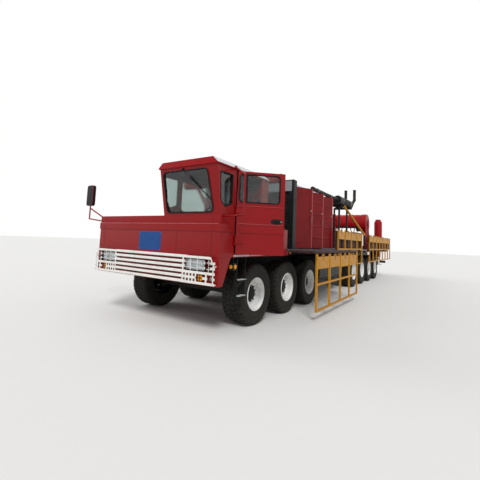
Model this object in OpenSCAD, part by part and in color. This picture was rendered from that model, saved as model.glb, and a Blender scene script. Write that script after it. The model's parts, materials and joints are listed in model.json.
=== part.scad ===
// Workover rig carrier with seven axles and an offset cab, its mast not fitted.
// Millimetres, +Z up, facing -Y, so +X is the vehicle's left side.
// Modules measure y back from the face of the front panel. place() then moves them so
// that the origin is on the ground below the middle of the vehicle.

/* [Body] */
// Width of the front body and the deck
body_w = 3030; // [2980:10:3200]
// Distance from the front panel's face to the front edge of the deck
deck_start = 2420; // [2400:10:2500]
// Height of the deck's top above the ground
deck_z = 1380; // [1370:5:1420]
// Thickness of the deck plate
deck_t = 40; // [20:5:60]
// Height of the top of the front panel
nose_top = 1900; // [1850:10:1950]
// Height of the body's underside, which is also the top of the chassis frame
nose_bottom = 1255; // [1240:5:1280]
// Depth of the closed front body beside the cab
nose_l = 1000; // [900:10:1200]
// Height of the bumper's lower edge
bumper_bottom = 820; // [780:10:860]
// Thickness of the bumper's plate
bumper_t = 12; // [8:1:20]
// Height of the lower edge of the band pressed round the front body and the door
band_z = 1650; // [1600:10:1680]
// Height of the band
band_h = 118; // [80:2:130]
// How far the band stands out
band_out = 12; // [8:1:16]

/* [Cab] */
// Side of the cab nearest the middle of the vehicle
cab_inner_x = 300; // [250:10:350]
// Depth of the cab from the front panel to its rear wall
cab_l = 1450; // [1420:10:1500]
// Height of the top of the cab's walls
cab_top = 2660; // [2640:5:2700]
// How far the windscreen's top stands ahead of its foot
cab_rake = 150; // [100:10:200]
// Thickness of the cab's walls
cab_wall = 45; // [35:5:60]
// Thickness of the roof
roof_t = 140; // [100:5:160]
// How far the roof reaches past the walls
roof_lip = 25; // [15:5:30]
// Distance from the front panel to the door's hinge
door_y = 380; // [360:5:400]
// Width of the door
door_w = 800; // [750:5:820]
// Thickness of the glass
glass_t = 8; // [6:1:12]
// Angle at which the door stands open
door_open = 48; // [30:1:70]
// Height of the middle of the mirror
mirror_z = 2360; // [2300:10:2400]

/* [Chassis] */
// Distance from the middle of the vehicle to a frame rail's outer face
frame_half = 450; // [430:5:470]
// Height of a frame rail
frame_h = 320; // [280:10:340]
// Width of a frame rail's flanges
flange_w = 90; // [70:5:110]
// Thickness of the frame rails
frame_t = 12; // [8:1:16]
// Width of the leaf springs
spring_w = 80; // [70:5:100]

/* [Wheels] */
// Radius of the tyres
tyre_r = 560; // [540:5:570]
// Width of the tyres
tyre_w = 420; // [380:10:430]
// Radius of the rim's flange
rim_r = 302; // [290:2:310]
// How deep the wheel's disc sits behind the tyre's outer face
dish = 175; // [150:5:190]
// Distance from the middle of the vehicle to a tyre's outer face
track_half = 1413; // [1400:1:1425]
// Distance from the front panel to the first axle
axle_1 = 1340; // [1320:10:1360]
// Distance between the axles of one group
axle_pitch = 1340; // [1320:5:1360]
// Distance from the third axle to the fourth
axle_gap = 4480; // [4400:10:4550]
// Distance from the last axle to the rear edge of the deck
rear_overhang = 3080; // [3000:10:3400]
// Distance from the middle of the vehicle to a kingpin
kingpin_x = 1000; // [980:5:1010]
// Radius of the kingpins
kingpin_r = 28; // [24:1:32]
// Radius of the spindles that carry the wheels
spindle_r = 60; // [50:5:65]
// Gap round pins and spindles
pin_gap = 0.5; // [0.3:0.1:0.8]

/* [Walkways] */
// Distance from a walkway's hinge to its free edge
walk_w = 590; // [560:10:620]
// Thickness of a walkway
walk_t = 45; // [36:1:50]
// Length of a guard rail's posts from its hinge
rail_h = 1110; // [1050:10:1150]
// Side of a guard rail's square tube
rail_tube = 40; // [35:1:45]
// Height of a guard rail's toe board
toe_h = 165; // [120:5:200]
// Radius of the hinge pins
pin_r = 12; // [10:1:14]

/* [Engine hood] */
// Distance from the front panel to the hinge of the first engine door
hood_y = 3240; // [3230:5:3280]
// Distance between the hinges of the engine doors
edoor_pitch = 840; // [830:5:850]
// Width of an engine door
edoor_w = 805; // [780:5:810]
// Half the width of the engine hood
hood_half = 1100; // [1060:10:1120]
// Height of the engine hood's side walls
hood_side = 2950; // [2900:10:3000]
// Height of the engine hood's roof
hood_top = 3080; // [3040:10:3150]
// Thickness of the engine hood's walls
hood_t = 30; // [24:1:40]
// Thickness of the engine doors
edoor_t = 28; // [20:1:32]
// Angle at which the engine doors stand open
edoor_open = 23; // [10:1:30]
// Half the width of the radiator
radiator_half = 1340; // [1250:10:1360]
// Height of the radiator's top
radiator_top = 3020; // [2950:10:3060]
// Radius of the mufflers
muffler_r = 165; // [150:5:180]

/* [Drawworks] */
// Distance from the last axle to the drum's shaft
drum_back = 80; // [0:10:150]
// Height of the drum's shaft
drum_z = 2620; // [2550:10:2660]
// Radius of the drum's flanges
drum_r = 400; // [360:10:420]
// Radius of the drum's barrel
barrel_r = 230; // [180:10:260]
// Half the length of the drum between its flanges
drum_half = 560; // [500:10:600]
// Half the distance between the outer faces of the drawworks' side plates
works_half = 1030; // [1000:10:1060]
// Radius of the drum's shaft
shaft_r = 60; // [50:5:70]
// Distance from the deck's rear edge to the mast's pivot
mast_ahead = 450; // [400:10:500]
// Height of the mast's pivot
mast_z = 1850; // [1800:10:1900]
// Radius of the bore for the mast's pivot pin
mast_bore = 45; // [35:1:50]

/* [Jacks] */
// Distance from the last axle to the rear jacks
jack_back = 1380; // [1360:10:1430]
// Distance from the deck's side to a jack's middle
jack_inset = 225; // [215:5:235]
// Radius of a jack's cylinder
jack_r = 120; // [110:5:130]
// Radius of a jack's leg
leg_r = 80; // [70:5:90]
// Height of a jack's foot above the ground
foot_z = 600; // [560:10:640]

/* [Hidden] */
$fn = 48;

half_w = body_w / 2;
steered = 3;
axle_count = 7;
last_axle = axle_1 + (axle_count - 2) * axle_pitch + axle_gap;
deck_end = last_axle + rear_overhang;
drum_y = last_axle + drum_back;
jack_y = last_axle + jack_back;
jack_x = half_w - jack_inset;
mast_y = deck_end - mast_ahead;
front_reach = cab_rake + roof_lip;
mid_y = (deck_end - front_reach) / 2;
wheel_x = track_half - tyre_w / 2;
frame_top = nose_bottom;
frame_bottom = frame_top - frame_h;
frame_front = 330;
frame_rear = deck_end - 60;
deck_under = deck_z - deck_t;
skin = cab_wall;
rake_angle = atan(cab_rake / (cab_top - nose_top));
clear = 5;
door_z = nose_bottom + cab_wall + clear;
door_top = cab_top - 8;
door_hinge_x = half_w + 20;
hinge_gap = 10;
hood_l = 3 * edoor_pitch + 70;
hood_front = hood_y - 40;
edoor_z = deck_z + 30;
edoor_top = hood_side - 20;
edoor_x = hood_half + 6 + edoor_t / 2;

// Walkway hinge line, and its rail's hinge measured from it
walk_hinge_x = half_w + 45;
walk_hinge_z = deck_z - walk_t / 2;
walk_inner = 34;
rail_out = 30;
rail_drop = 60;

// Columns of the walkways: start, end, 1 if it stands folded up
WALKWAYS = [
  [2300, 5600, 0],
  [5640, 8760, 1],
  [10100, deck_end - 100, 1]];

// Distance from the front panel to axle i, counted from 0
function axle_y(i) =
  axle_1 + i * axle_pitch + (i < steered ? 0 : axle_gap - axle_pitch);

module place() { translate([0, -mid_y, 0]) children(); }
// A block between its lowest and highest corners
module block(lo, hi) { translate(lo) cube(hi - lo); }
// The children and their mirror image on the other side of the vehicle
module both_sides() {
  children();
  mirror([1, 0, 0]) children();
}
// An outline of (x, z) points, drawn from y0 back to y1
module along_y(y0, y1) {
  translate([0, y1, 0]) rotate([90, 0, 0]) linear_extrude(y1 - y0) children();
}
// An outline of (y, z) points, drawn from x0 to x1
module along_x(x0, x1) {
  translate([x0, 0, 0]) rotate([90, 0, 90]) linear_extrude(x1 - x0) children();
}
// Starts of n members of width w, spread evenly from a to b
function spread(a, b, n, w) = [for (i = [0 : n - 1]) a + (b - a - w) * i / (n - 1)];
// A round bar from point a to point b
module bar(a, b, r) {
  v = b - a;
  translate(a) rotate([0, acos(v.z / norm(v)), atan2(v.y, v.x)]) cylinder(h = norm(v), r = r);
}

// A bent tube through a list of points, its knees rounded to radius k
module bent_tube(points, r, k) {
  for (i = [0 : len(points) - 2]) bar(points[i], points[i + 1], r);
  for (i = [1 : len(points) - 2]) translate(points[i]) sphere(r = k);
}
// A rectangle of width w and height h about its middle, with corners of radius r
module rounded_rect(w, h, r) {
  square([w - 2 * r, h], center = true);
  square([w, h - 2 * r], center = true);
  for (x = [r - w / 2, w / 2 - r], y = [r - h / 2, h / 2 - r]) translate([x, y]) circle(r = r);
}

function unit(v) = v / norm(v);
// The outline p with each corner rounded to radius r by n flats
function fillet(p, r, n = 5) = [for (i = [0 : len(p) - 1])
  let (b = p[i], u = unit(p[(i + len(p) - 1) % len(p)] - b), v = unit(p[(i + 1) % len(p)] - b),
       half = acos(u * v) / 2, m = b + unit(u + v) * r / sin(half),
       s = b + u * r / tan(half) - m, e = b + v * r / tan(half) - m)
  for (k = [0 : n]) m + r * unit(s * (n - k) + e * k)];

// A C-shaped frame rail on the left side
module rail_section() {
  difference() {
    translate([frame_half - flange_w, frame_bottom]) square([flange_w, frame_h]);
    translate([frame_half - flange_w - 1, frame_bottom + frame_t])
      square([flange_w - frame_t + 1, frame_h - 2 * frame_t]);
  }
}

module chassis_frame() {
  cross_w = 100;
  inner = frame_half - frame_t;
  color("#1b1c1e") place() {
    both_sides() along_y(frame_front, frame_rear) rail_section();
    for (y = spread(frame_front + 90, frame_rear - 40, 12, cross_w))
      block([-inner, y, frame_bottom + 60], [inner, y + cross_w, frame_top - 60]);
    // Guard bar across the rear, hung from the rails
    block([120 - half_w, frame_rear - 110, 640], [half_w - 120, frame_rear - 30, 760]);
    both_sides() block([frame_half - flange_w, frame_rear - 100, 759], [frame_half - 10, frame_rear - 40, frame_bottom + 1]);
  }
}

// Curved leaf spring in the (y, z) plane, z0 at its middle and z1 at its ends
module leaf(y0, half_l, z0, z1, t) {
  steps = 8;
  function rise(i) = z0 + (z1 - z0) * pow(i / steps, 2);
  polygon(concat(
    [for (i = [-steps : steps]) [y0 + half_l * i / steps, rise(i)]],
    [for (i = [steps : -1 : -steps]) [y0 + half_l * i / steps, rise(i) + t]]));
}

// Beam, eyes and springs of a steered axle
module front_axle(y) {
  eye_h = 150;
  spring_x = frame_half - flange_w / 2 - spring_w / 2;
  spring_l = 540;
  difference() {
    union() {
      block([-kingpin_x, y - 40, tyre_r - 60], [kingpin_x, y + 40, tyre_r + 40]);
      both_sides() translate([kingpin_x, y, tyre_r - eye_h / 2]) cylinder(h = eye_h, r = 48);
      both_sides() block([spring_x - 10, y - 70, tyre_r + 40],
                         [spring_x + spring_w + 10, y + 70, tyre_r + 90]);
    }
    both_sides() translate([kingpin_x, y, tyre_r - eye_h])
      cylinder(h = 2 * eye_h, r = kingpin_r + pin_gap);
  }
  both_sides() {
    along_x(spring_x, spring_x + spring_w) leaf(y, spring_l, tyre_r + 90, 790, 60);
    for (side = [-1, 1])
      block([spring_x + 10, y + side * (spring_l - 30) - 35, 835],
            [spring_x + spring_w - 10, y + side * (spring_l - 30) + 35, frame_bottom]);
  }
}

// Housing and spindles of a driven axle
module rear_axle(y) {
  shoulder = wheel_x - 85;
  translate([0, y, tyre_r]) {
    rotate([0, 90, 0]) translate([0, 0, -shoulder]) cylinder(h = 2 * shoulder, r = 75);
    rotate([90, 0, 0]) translate([0, 0, -130]) cylinder(h = 260, r = 225);
    both_sides() {
      translate([shoulder - 30, 0, 0]) rotate([0, 90, 0]) cylinder(h = 30, r = 130);
      rotate([0, 90, 0]) cylinder(h = wheel_x + 85, r = spindle_r);
      block([530, -60, 60], [630, 60, 110]);
    }
  }
}

// Springs that rest on the two axles beside y, and their bracket on the frame
module rear_springs(y) {
  both_sides() {
    along_x(540, 620) leaf(y, axle_pitch / 2 + 60, tyre_r + 215, tyre_r + 96, 90);
    block([frame_half, y - 130, tyre_r + 305], [640, y + 130, frame_top - 60]);
  }
}

module axles() {
  color("#202124") place() {
    for (i = [0 : steered - 1]) front_axle(axle_y(i));
    for (i = [steered : axle_count - 1]) rear_axle(axle_y(i));
    for (i = [steered : 2 : axle_count - 1]) rear_springs((axle_y(i) + axle_y(i + 1)) / 2);
  }
}

module tanks_and_lockers() {
  tank_y = 5050;
  tank_l = 2300;
  color("#2c2d30") place() {
    both_sides() {
      translate([frame_half + 130, tank_y, 560]) {
        cube([700, tank_l, 620]);
        for (y = [250, tank_l - 350]) block([-130, y, 380], [0, y + 100, 600]);
      }
      translate([0, axle_y(3) - 1020, 900]) {
        rotate([-90, 0, 0]) translate([780, 0, 0]) cylinder(h = 420, r = 150);
        block([frame_half, 150, -30], [640, 270, 130]);
      }
    }
    block([half_w - 615, 8800, deck_z], [half_w - 135, 9900, deck_z + 660]);
  }
}

// Side outline of the bumper, grown inwards by t
module bumper_outline(t) {
  polygon([[t, bumper_bottom + t], [t, nose_bottom - t],
           [310 - t * 2, nose_bottom - t], [120 - t / 2, bumper_bottom + t]]);
}

module bumper() {
  color("#b3161b") place() difference() {
    along_x(-half_w, half_w) bumper_outline(0);
    along_x(bumper_t - half_w, half_w - bumper_t) {
      bumper_outline(bumper_t);
      translate([100, bumper_bottom + bumper_t])
        square([300, nose_bottom - bumper_bottom - 2 * bumper_t]);
    }
  }
}

slat_count = 6;
slat_h = 42;
slat_pitch = 77;
guard_in = half_w - 655;
guard_out = half_w - 15;

module bumper_guard() {
  z0 = bumper_bottom + 20;
  color("white") place() {
    for (i = [0 : slat_count - 1])
      block([-guard_in + 10, -35, z0 + i * slat_pitch], [guard_in - 10, 0, z0 + i * slat_pitch + slat_h]);
    both_sides() {
      for (i = [0 : slat_count - 1])
        block([guard_in, -75, z0 + 8 + i * slat_pitch], [guard_out, -60, z0 + 26 + i * slat_pitch]);
      for (i = [0 : 4])
        block([guard_in + i * 155, -75, z0], [guard_in + i * 155 + 20, -60, z0 + 410]);
      for (x = [guard_in, guard_out - 20], z = [z0, z0 + 390])
        block([x, -60, z], [x + 20, 0, z + 20]);
    }
  }
}

module headlamps() {
  color("#dfe3e6") place() both_sides() {
    block([half_w - 525, -45, 1050], [half_w - 185, 0, 1215]);
    for (z = [1105, 1195])
      translate([half_w - 90, 0, z]) rotate([90, 0, 0]) cylinder(h = 45, r = 38);
    translate([half_w - 285, 0, 905]) rotate([90, 0, 0]) cylinder(h = 45, r = 55);
  }
}

// Heights of the lower ends of the door's two hinges, and the height of a hinge's barrel
door_hinges = [1480, 1960];
barrel_h = 90;

// A lug on the pillar below one of the door's barrels, and the pin that goes up through it
module pillar_lug(z) {
  lug_h = 25;
  for (level = [z - clear - lug_h, z + barrel_h + clear]) {
    block([half_w, door_y - 40, level], [door_hinge_x + 12, door_y - 6, level + lug_h]);
    block([half_w + 8, door_y - 7, level], [door_hinge_x + 12, door_y + 12, level + lug_h]);
  }
  translate([door_hinge_x, door_y, z - clear - lug_h]) cylinder(h = barrel_h + 2 * (clear + lug_h), r = 6);
}

module nose_body() {
  floor_top = nose_bottom + cab_wall;
  color("#b3161b") place() {
    pillar_lug(door_hinges[0]);
    // Front panel, the panel ahead of the door and the floor behind them
    block([-half_w, 0, nose_bottom], [half_w, skin, nose_top]);
    block([half_w - skin, skin, nose_bottom], [half_w, door_y, nose_top]);
    block([-half_w, skin, nose_bottom], [half_w, cab_l, floor_top]);
    // Closed front body beside the cab
    block([-half_w, skin, floor_top], [cab_inner_x, nose_l, nose_top]);
    // Pressed band round the front, up to the door
    block([-half_w - band_out, -band_out, band_z], [half_w + band_out, 1, band_z + band_h]);
    block([-half_w - band_out, 0, band_z], [1 - half_w, nose_l, band_z + band_h]);
    block([half_w - 1, 0, band_z], [half_w + band_out, door_y - 60, band_z + band_h]);
    // Floor and side locker behind the cab
    block([-half_w, cab_l, nose_bottom], [half_w, deck_start, deck_z - 40]);
    block([half_w - 635, cab_l, deck_z - 40], [half_w, deck_start - 60, 1790]);
  }
}

// Side outline of the cab's walls, grown inwards by t
module cab_outline(t) {
  lean = cab_rake * t / (cab_top - nose_top);
  polygon([[skin + t, nose_bottom + skin - 2 * t], [skin + t, nose_top + t], [t - lean, nose_top + t],
           [t - cab_rake, cab_top + t], [cab_l - t, cab_top + t], [cab_l - t, nose_bottom + skin - 2 * t]]);
}

// Places children in the plane of the windscreen, x across, y up and z outwards
module on_windscreen() {
  translate([0, 0, nose_top]) rotate([90 + rake_angle, 0, 0]) children();
}

module windscreen_outline() {
  polygon(fillet([[cab_inner_x + 90, 50], [half_w - 135, 50], [half_w - 195, 715], [cab_inner_x + 65, 715]], 65));
}

// Outline in (y, z) of the window ahead of the door
module quarter_outline() {
  polygon(fillet([[-52, 2560], [-18, 2130], [100, 2040], [275, 2105], [275, 2560]], 32));
}

// Outline in (y, z) of the window in the wall beside the front body
module side_outline() { polygon(fillet([[360, 2010], [1220, 2010], [1220, 2550], [360, 2550]], 70)); }
module rear_outline() {
  translate([(cab_inner_x + half_w) / 2, 2280]) rounded_rect(half_w - cab_inner_x - 300, 540, 70);
}

module cab_windows() {
  on_windscreen() translate([0, 0, -3 * cab_wall]) linear_extrude(5 * cab_wall) windscreen_outline();
  along_x(half_w - 2 * cab_wall, half_w + 1) quarter_outline();
  along_x(cab_inner_x - 1, cab_inner_x + 2 * cab_wall) {
    quarter_outline();
    side_outline();
  }
  along_y(cab_l - 2 * cab_wall, cab_l + 1) rear_outline();
}

module cab_shell() {
  color("#b3161b") place() pillar_lug(door_hinges[1]);
  // Slanted ledge from the front body's top back to the door
  color("#b3161b") place() along_x(half_w - 1, half_w + 9)
    polygon([[4, nose_top + 2], [door_y - 60, nose_top + 76], [door_y - 60, nose_top + 90], [4, nose_top + 16]]);
  color("#b3161b") place() difference() {
    along_x(cab_inner_x, half_w) cab_outline(0);
    along_x(cab_inner_x + cab_wall, half_w - cab_wall) cab_outline(cab_wall);
    cab_windows();
    // The door's opening, and the foot of the left wall that the front panel takes
    block([half_w - cab_wall, door_y, nose_bottom], [half_w + 1, door_y + door_w + 20, cab_top + 1]);
    block([half_w - cab_wall, 0, nose_bottom], [half_w + 1, door_y, nose_top]);
  }
}

module cab_roof() {
  lo_x = cab_inner_x - roof_lip;
  hi_x = half_w + roof_lip;
  lo_y = -cab_rake - roof_lip;
  hi_y = cab_l + roof_lip;
  bevel = 95;
  lip_h = 24;
  color("#d9dcde") place() intersection() {
    along_y(lo_y, hi_y) polygon([
      [lo_x, cab_top], [hi_x, cab_top], [hi_x, cab_top + lip_h],
      [hi_x - bevel, cab_top + roof_t - 25], [hi_x - 4 * bevel, cab_top + roof_t],
      [lo_x + 4 * bevel, cab_top + roof_t], [lo_x + bevel, cab_top + roof_t - 25], [lo_x, cab_top + lip_h]]);
    // High and upright at the front, rounded down at the rear
    along_x(lo_x, hi_x) polygon([
      [lo_y, cab_top], [hi_y, cab_top], [hi_y, cab_top + lip_h], [hi_y - bevel, cab_top + roof_t - 25],
      [hi_y - 4 * bevel, cab_top + roof_t], [lo_y + 4 * bevel, cab_top + roof_t], [lo_y, cab_top + roof_t - 30]]);
  }
}

module cab_glass() {
  color([0.55, 0.65, 0.68, 0.4]) place() {
    on_windscreen() translate([0, 0, -cab_wall / 2]) linear_extrude(glass_t) windscreen_outline();
    along_x(half_w - cab_wall / 2 - glass_t, half_w - cab_wall / 2) quarter_outline();
    along_x(cab_inner_x + cab_wall / 2, cab_inner_x + cab_wall / 2 + glass_t) {
      quarter_outline();
      side_outline();
    }
    along_y(cab_l - cab_wall / 2 - glass_t, cab_l - cab_wall / 2) rear_outline();
  }
}

module cab_interior() {
  floor_top = nose_bottom + cab_wall;
  dash_x = [cab_inner_x + cab_wall, half_w - cab_wall];
  seat_x = half_w - 505;
  seat_y = cab_l - 150;
  color("#37393c") place() {
    // Dashboard
    along_x(dash_x[0], dash_x[1])
      polygon([[skin + cab_wall, floor_top + 250], [skin + cab_wall, 1890], [250, 1850], [330, 1700], [280, floor_top + 250]]);
    // Driver's seat on its box
    block([seat_x - 200, seat_y - 440, floor_top], [seat_x + 200, seat_y - 40, floor_top + 300]);
    block([seat_x - 250, seat_y - 500, floor_top + 300], [seat_x + 250, seat_y - 10, floor_top + 430]);
    block([seat_x - 240, seat_y - 120, floor_top + 430], [seat_x + 240, seat_y, floor_top + 1050]);
    // Steering column and wheel
    bar([seat_x, 300, 1640], [seat_x, 560, 1900], 35);
    translate([seat_x, 560, 1900]) rotate([-45, 0, 0]) {
      rotate_extrude() translate([230, 0]) circle(r = 16);
      for (a = [0 : 120 : 240]) rotate([0, 90, a + 90]) cylinder(h = 225, r = 12);
    }
  }
}

module cab_steps() {
  x = [half_w - 75, half_w + 25];
  y = [door_y + 140, door_y + 400];
  color("#1b1c1e") place() {
    for (side = [0, 1])
      block([x[0], y[side] - (side == 0 ? 0 : 12), 560], [x[1] - 40, y[side] + (side == 0 ? 12 : 0), nose_bottom]);
    for (z = [600, 860])
      block([x[0], y[0] + 12, z], [x[1], y[1] - 12, z + 25]);
  }
}

// Bent tube brackets beside the front panel. The left one carries no mirror.
module mirrors() {
  tube_r = 14;
  pad_t = 14;
  pad_y = 100;
  root = half_w + pad_t - 4;
  out = half_w + 400;
  mirror_x = half_w + 570;
  glass = [215, 440];
  color("#b3161b") place() {
    block([half_w, pad_y - 30, nose_top - 55], [half_w + pad_t, pad_y + 30, nose_top + 15]);
    block([half_w + roof_lip, 270, cab_top + 2], [half_w + roof_lip + pad_t, 330, cab_top + 48]);
    bent_tube([[root, pad_y, nose_top - 20], [out, 10, nose_top], [out, 10, cab_top - 170],
               [half_w + roof_lip + pad_t - 2, 300, cab_top + 27]], tube_r, tube_r);
    block([-half_w - pad_t, pad_y - 30, nose_top - 130], [-half_w, pad_y + 30, nose_top - 20]);
    bent_tube([[-root, pad_y, nose_top - 100], [-mirror_x, pad_y - 20, nose_top - 40],
               [-mirror_x, pad_y - 20, nose_top + 190], [-root, pad_y, nose_top - 50]], tube_r, tube_r);
  }
  color("#1b1c1e") place() {
    bar([-mirror_x, pad_y - 20, nose_top + 180], [-mirror_x, pad_y - 20, mirror_z], tube_r);
    translate([-mirror_x, 0, mirror_z]) along_y(pad_y - 55, pad_y + 15) rounded_rect(glass.x, glass.y, 50);
  }
}

module deck() {
  cross_w = 80;
  color("#3a3c3f") place() difference() {
    union() {
      block([-half_w, deck_start, deck_under], [half_w, deck_end, deck_z]);
      both_sides() block([frame_half - flange_w, deck_start, frame_top], [frame_half, deck_end - 60, deck_under]);
      for (y = spread(deck_start, deck_end, 11, cross_w))
        block([60 - half_w, y, frame_top + 10], [half_w - 60, y + cross_w, deck_under]);
      for (w = [0 : 2]) both_sides() deck_lugs(WALKWAYS[w]);
    }
    both_sides() translate([jack_x, jack_y, frame_top - 10]) cylinder(h = 200, r = jack_r + 6);
    for (w = [0 : 2]) both_sides() walkway_axis(WALKWAYS[w][0] - 100) cylinder(h = WALKWAYS[w][1] - WALKWAYS[w][0] + 200, r = pin_r + pin_gap);
  }
}

// Places children on a walkway's hinge line from y back, their z axis along it
module walkway_axis(y) {
  translate([walk_hinge_x, y, walk_hinge_z]) rotate([-90, 0, 0]) children();
}

// Middle positions of the hinges along a walkway w
function hinge_ys(w) = let (n = round((w[1] - w[0]) / 1300))
  [for (i = [0 : n]) w[0] + 160 + (w[1] - w[0] - 320) * i / n];

lug_half = 20;

module deck_lugs(w) {
  for (y = hinge_ys(w)) {
    block([half_w - 1, y - lug_half, walk_hinge_z - 14], [walk_hinge_x, y + lug_half, walk_hinge_z + 14]);
    walkway_axis(y - lug_half) cylinder(h = 2 * lug_half, r = 24);
  }
}

module radiator() {
  y0 = hood_front - 190;
  color("#141516") place() difference() {
    block([-radiator_half, y0, deck_z], [radiator_half, hood_front, radiator_top]);
    block([120 - radiator_half, y0 - 1, deck_z + 160], [radiator_half - 120, y0 + 60, radiator_top - 120]);
  }
}

// Cross-section of the engine hood, grown inwards by t
module hood_outline(t) {
  x = hood_half - t;
  polygon([[-x, deck_z], [x, deck_z], [x, hood_side - t / 2], [x - 90, hood_top - t], [90 - x, hood_top - t], [-x, hood_side - t / 2]]);
}

module engine_hood() {
  pin_l = 60;
  color("#b3161b") place() {
    difference() {
      along_y(hood_front, hood_front + hood_l) hood_outline(0);
      along_y(hood_front - 1, hood_front + hood_l - hood_t) hood_outline(hood_t);
      for (i = [0 : 2])
        block([hood_half - 2 * hood_t, hood_y + i * edoor_pitch + 30, edoor_z],
              [hood_half + 1, hood_y + i * edoor_pitch + edoor_w - 15, edoor_top]);
    }
    for (i = [0 : 2]) {
      y = hood_y + i * edoor_pitch;
      for (z = [edoor_z - 25, edoor_top + clear])
        block([hood_half, y - 14, z], [edoor_x + 12, y + 14, z + 20]);
      translate([edoor_x, y, edoor_z - 20]) cylinder(h = pin_l, r = 6);
      translate([edoor_x, y, edoor_top + 20 - pin_l]) cylinder(h = pin_l, r = 6);
    }
  }
}

module engine() {
  color("#4a4c50") place() {
    block([-450, hood_y + 200, deck_z + 260], [450, hood_y + 2200, 2500]);
    for (y = [hood_y + 350, hood_y + 1950]) block([-400, y, deck_z], [400, y + 120, deck_z + 260]);
  }
}

// One engine door, drawn closed and then opened about its hinge
module engine_door(i) {
  y = hood_y + i * edoor_pitch;
  color("#a31418") place() translate([edoor_x, y, 0]) rotate([0, 0, -edoor_open]) difference() {
    union() {
      block([-edoor_t / 2, 18, edoor_z], [edoor_t / 2, edoor_w, edoor_top]);
      translate([0, 0, edoor_z]) cylinder(h = edoor_top - edoor_z, r = 13);
      block([-6, 0, edoor_z], [6, 30, edoor_top]);
    }
    translate([0, 0, edoor_z - 1]) cylinder(h = 46, r = 6 + pin_gap);
    translate([0, 0, edoor_top - 45]) cylinder(h = 46, r = 6 + pin_gap);
  }
}
module engine_door_1() { engine_door(0); }
module engine_door_2() { engine_door(1); }
module engine_door_3() { engine_door(2); }

// Points of an exhaust's route in the (y, z) plane, from the hood's roof to the tail pipe's top
function exhaust_route(z) = [
  [5500, hood_top], [5500, z], [10150, z], [10680, z + 320], [10680, z + 740]];

module exhaust() {
  z = 3230;
  muffler_y = [8100, 9850];
  stand_x = [320, 840];
  pipe_r = 62;
  color("#18191b") place() {
    for (x = [480, 860]) {
      translate([x, muffler_y[0], z]) rotate([-90, 0, 0])
        cylinder(h = muffler_y[1] - muffler_y[0], r = muffler_r);
      bent_tube([for (p = exhaust_route(z)) [x, p.x, p.y]], pipe_r, pipe_r + 8);
      // Rain flap, half open, on its hinge lug
      translate([x, 10680, z + 745]) rotate([-25, 0, 0]) cylinder(h = 6, r = pipe_r + 6);
      block([x - 12, 10680 + pipe_r - 6, z + 690], [x + 12, 10680 + pipe_r + 14, z + 735]);
    }
    for (y = [8400, 9500]) {
      for (x = stand_x) block([x - 30, y, deck_z], [x + 30, y + 60, z - muffler_r - 20]);
      block([stand_x[0] - 30, y, z - muffler_r - 60], [1040, y + 60, z - muffler_r + 20]);
    }
    // Stay from the front stand to the edge of the deck
    bar([1010, 8430, z - muffler_r - 20], [half_w - 75, 9990, deck_z + 600], 28);
    block([half_w - 115, 9960, deck_z], [half_w - 45, 10040, deck_z + 640]);
  }
}

module mast_rest() {
  y = 2260;
  tube_z = 2895;
  apex_z = 2320;
  color("#b3161b") place() {
    translate([-1390, y, tube_z]) rotate([0, 90, 0]) cylinder(h = 2780, r = 100);
    both_sides() {
      block([560, y - 60, deck_z - 40], [680, y + 60, apex_z + 40]);
      bar([600, y, apex_z], [470, y, tube_z], 45);
      bar([640, y, apex_z], [1020, y, tube_z], 45);
    }
  }
}

module drawworks_frame() {
  plate_t = 40;
  guard_r = drum_r + 50;
  foot = [drum_y - 620, drum_y + 620];
  color("#b3161b") place() {
    both_sides() difference() {
      union() {
        along_x(works_half - plate_t, works_half) {
          polygon([[foot[0], deck_z], [foot[1], deck_z], [drum_y + 330, drum_z - 200], [drum_y - 330, drum_z - 200]]);
          translate([drum_y, drum_z]) circle(r = guard_r);
        }
        translate([works_half - plate_t - 40, drum_y, drum_z]) rotate([0, 90, 0]) cylinder(h = plate_t + 80, r = 110);
      }
      translate([works_half - 200, drum_y, drum_z]) rotate([0, 90, 0]) cylinder(h = 400, r = shaft_r + pin_gap);
    }
    for (y = [foot[0] + 60, foot[1] - 160])
      block([plate_t - works_half, y, deck_z], [works_half - plate_t, y + 100, deck_z + 160]);
    // Guard over the front of the drum
    translate([0, drum_y, drum_z]) along_x(plate_t - works_half, works_half - plate_t) intersection() {
      difference() {
        circle(r = guard_r);
        circle(r = guard_r - 8);
      }
      translate([-guard_r, -150]) square([guard_r + 120, guard_r + 150]);
    }
    // Inclined chain case and the gearbox it starts from
    along_x(-300, -80) {
      polygon([[8500, 1560], [8350, 2060], [10900, 2950], [11100, 2450]]);
      translate([8440, 1810]) circle(r = 262);
      translate([11010, 2700]) circle(r = 262);
    }
    block([-500, 7900, deck_z], [-80, 8900, 2200]);
    block([-300, 10800, deck_z], [-80, 11100, 2500]);
  }
}

module mast_base() {
  plate_t = 50;
  color("#b3161b") place() both_sides() difference() {
    union() {
      for (x = [520, 720]) along_x(x, x + plate_t) {
        polygon([[mast_y - 380, deck_z], [mast_y + 380, deck_z], [mast_y + 120, mast_z], [mast_y - 120, mast_z]]);
        translate([mast_y, mast_z]) circle(r = 120);
      }
      block([520, mast_y - 380, deck_z], [770, mast_y + 380, deck_z + 60]);
    }
    translate([500, mast_y, mast_z]) rotate([0, 90, 0]) cylinder(h = 400, r = mast_bore);
  }
}

module jack_cylinders() {
  top = 2560;
  color("#b3161b") place() both_sides() translate([jack_x, jack_y, 0]) difference() {
    union() {
      translate([0, 0, 1000]) cylinder(h = top - 1000, r = jack_r);
      translate([0, 0, deck_z]) cylinder(h = 30, r = jack_r + 50);
      translate([0, 0, top]) cylinder(h = 120, r = 70);
      translate([0, 0, top + 120]) cylinder(h = 40, r = 110);
    }
    translate([0, 0, 900]) cylinder(h = top - 1000, r = leg_r + pin_gap);
  }
}

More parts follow.
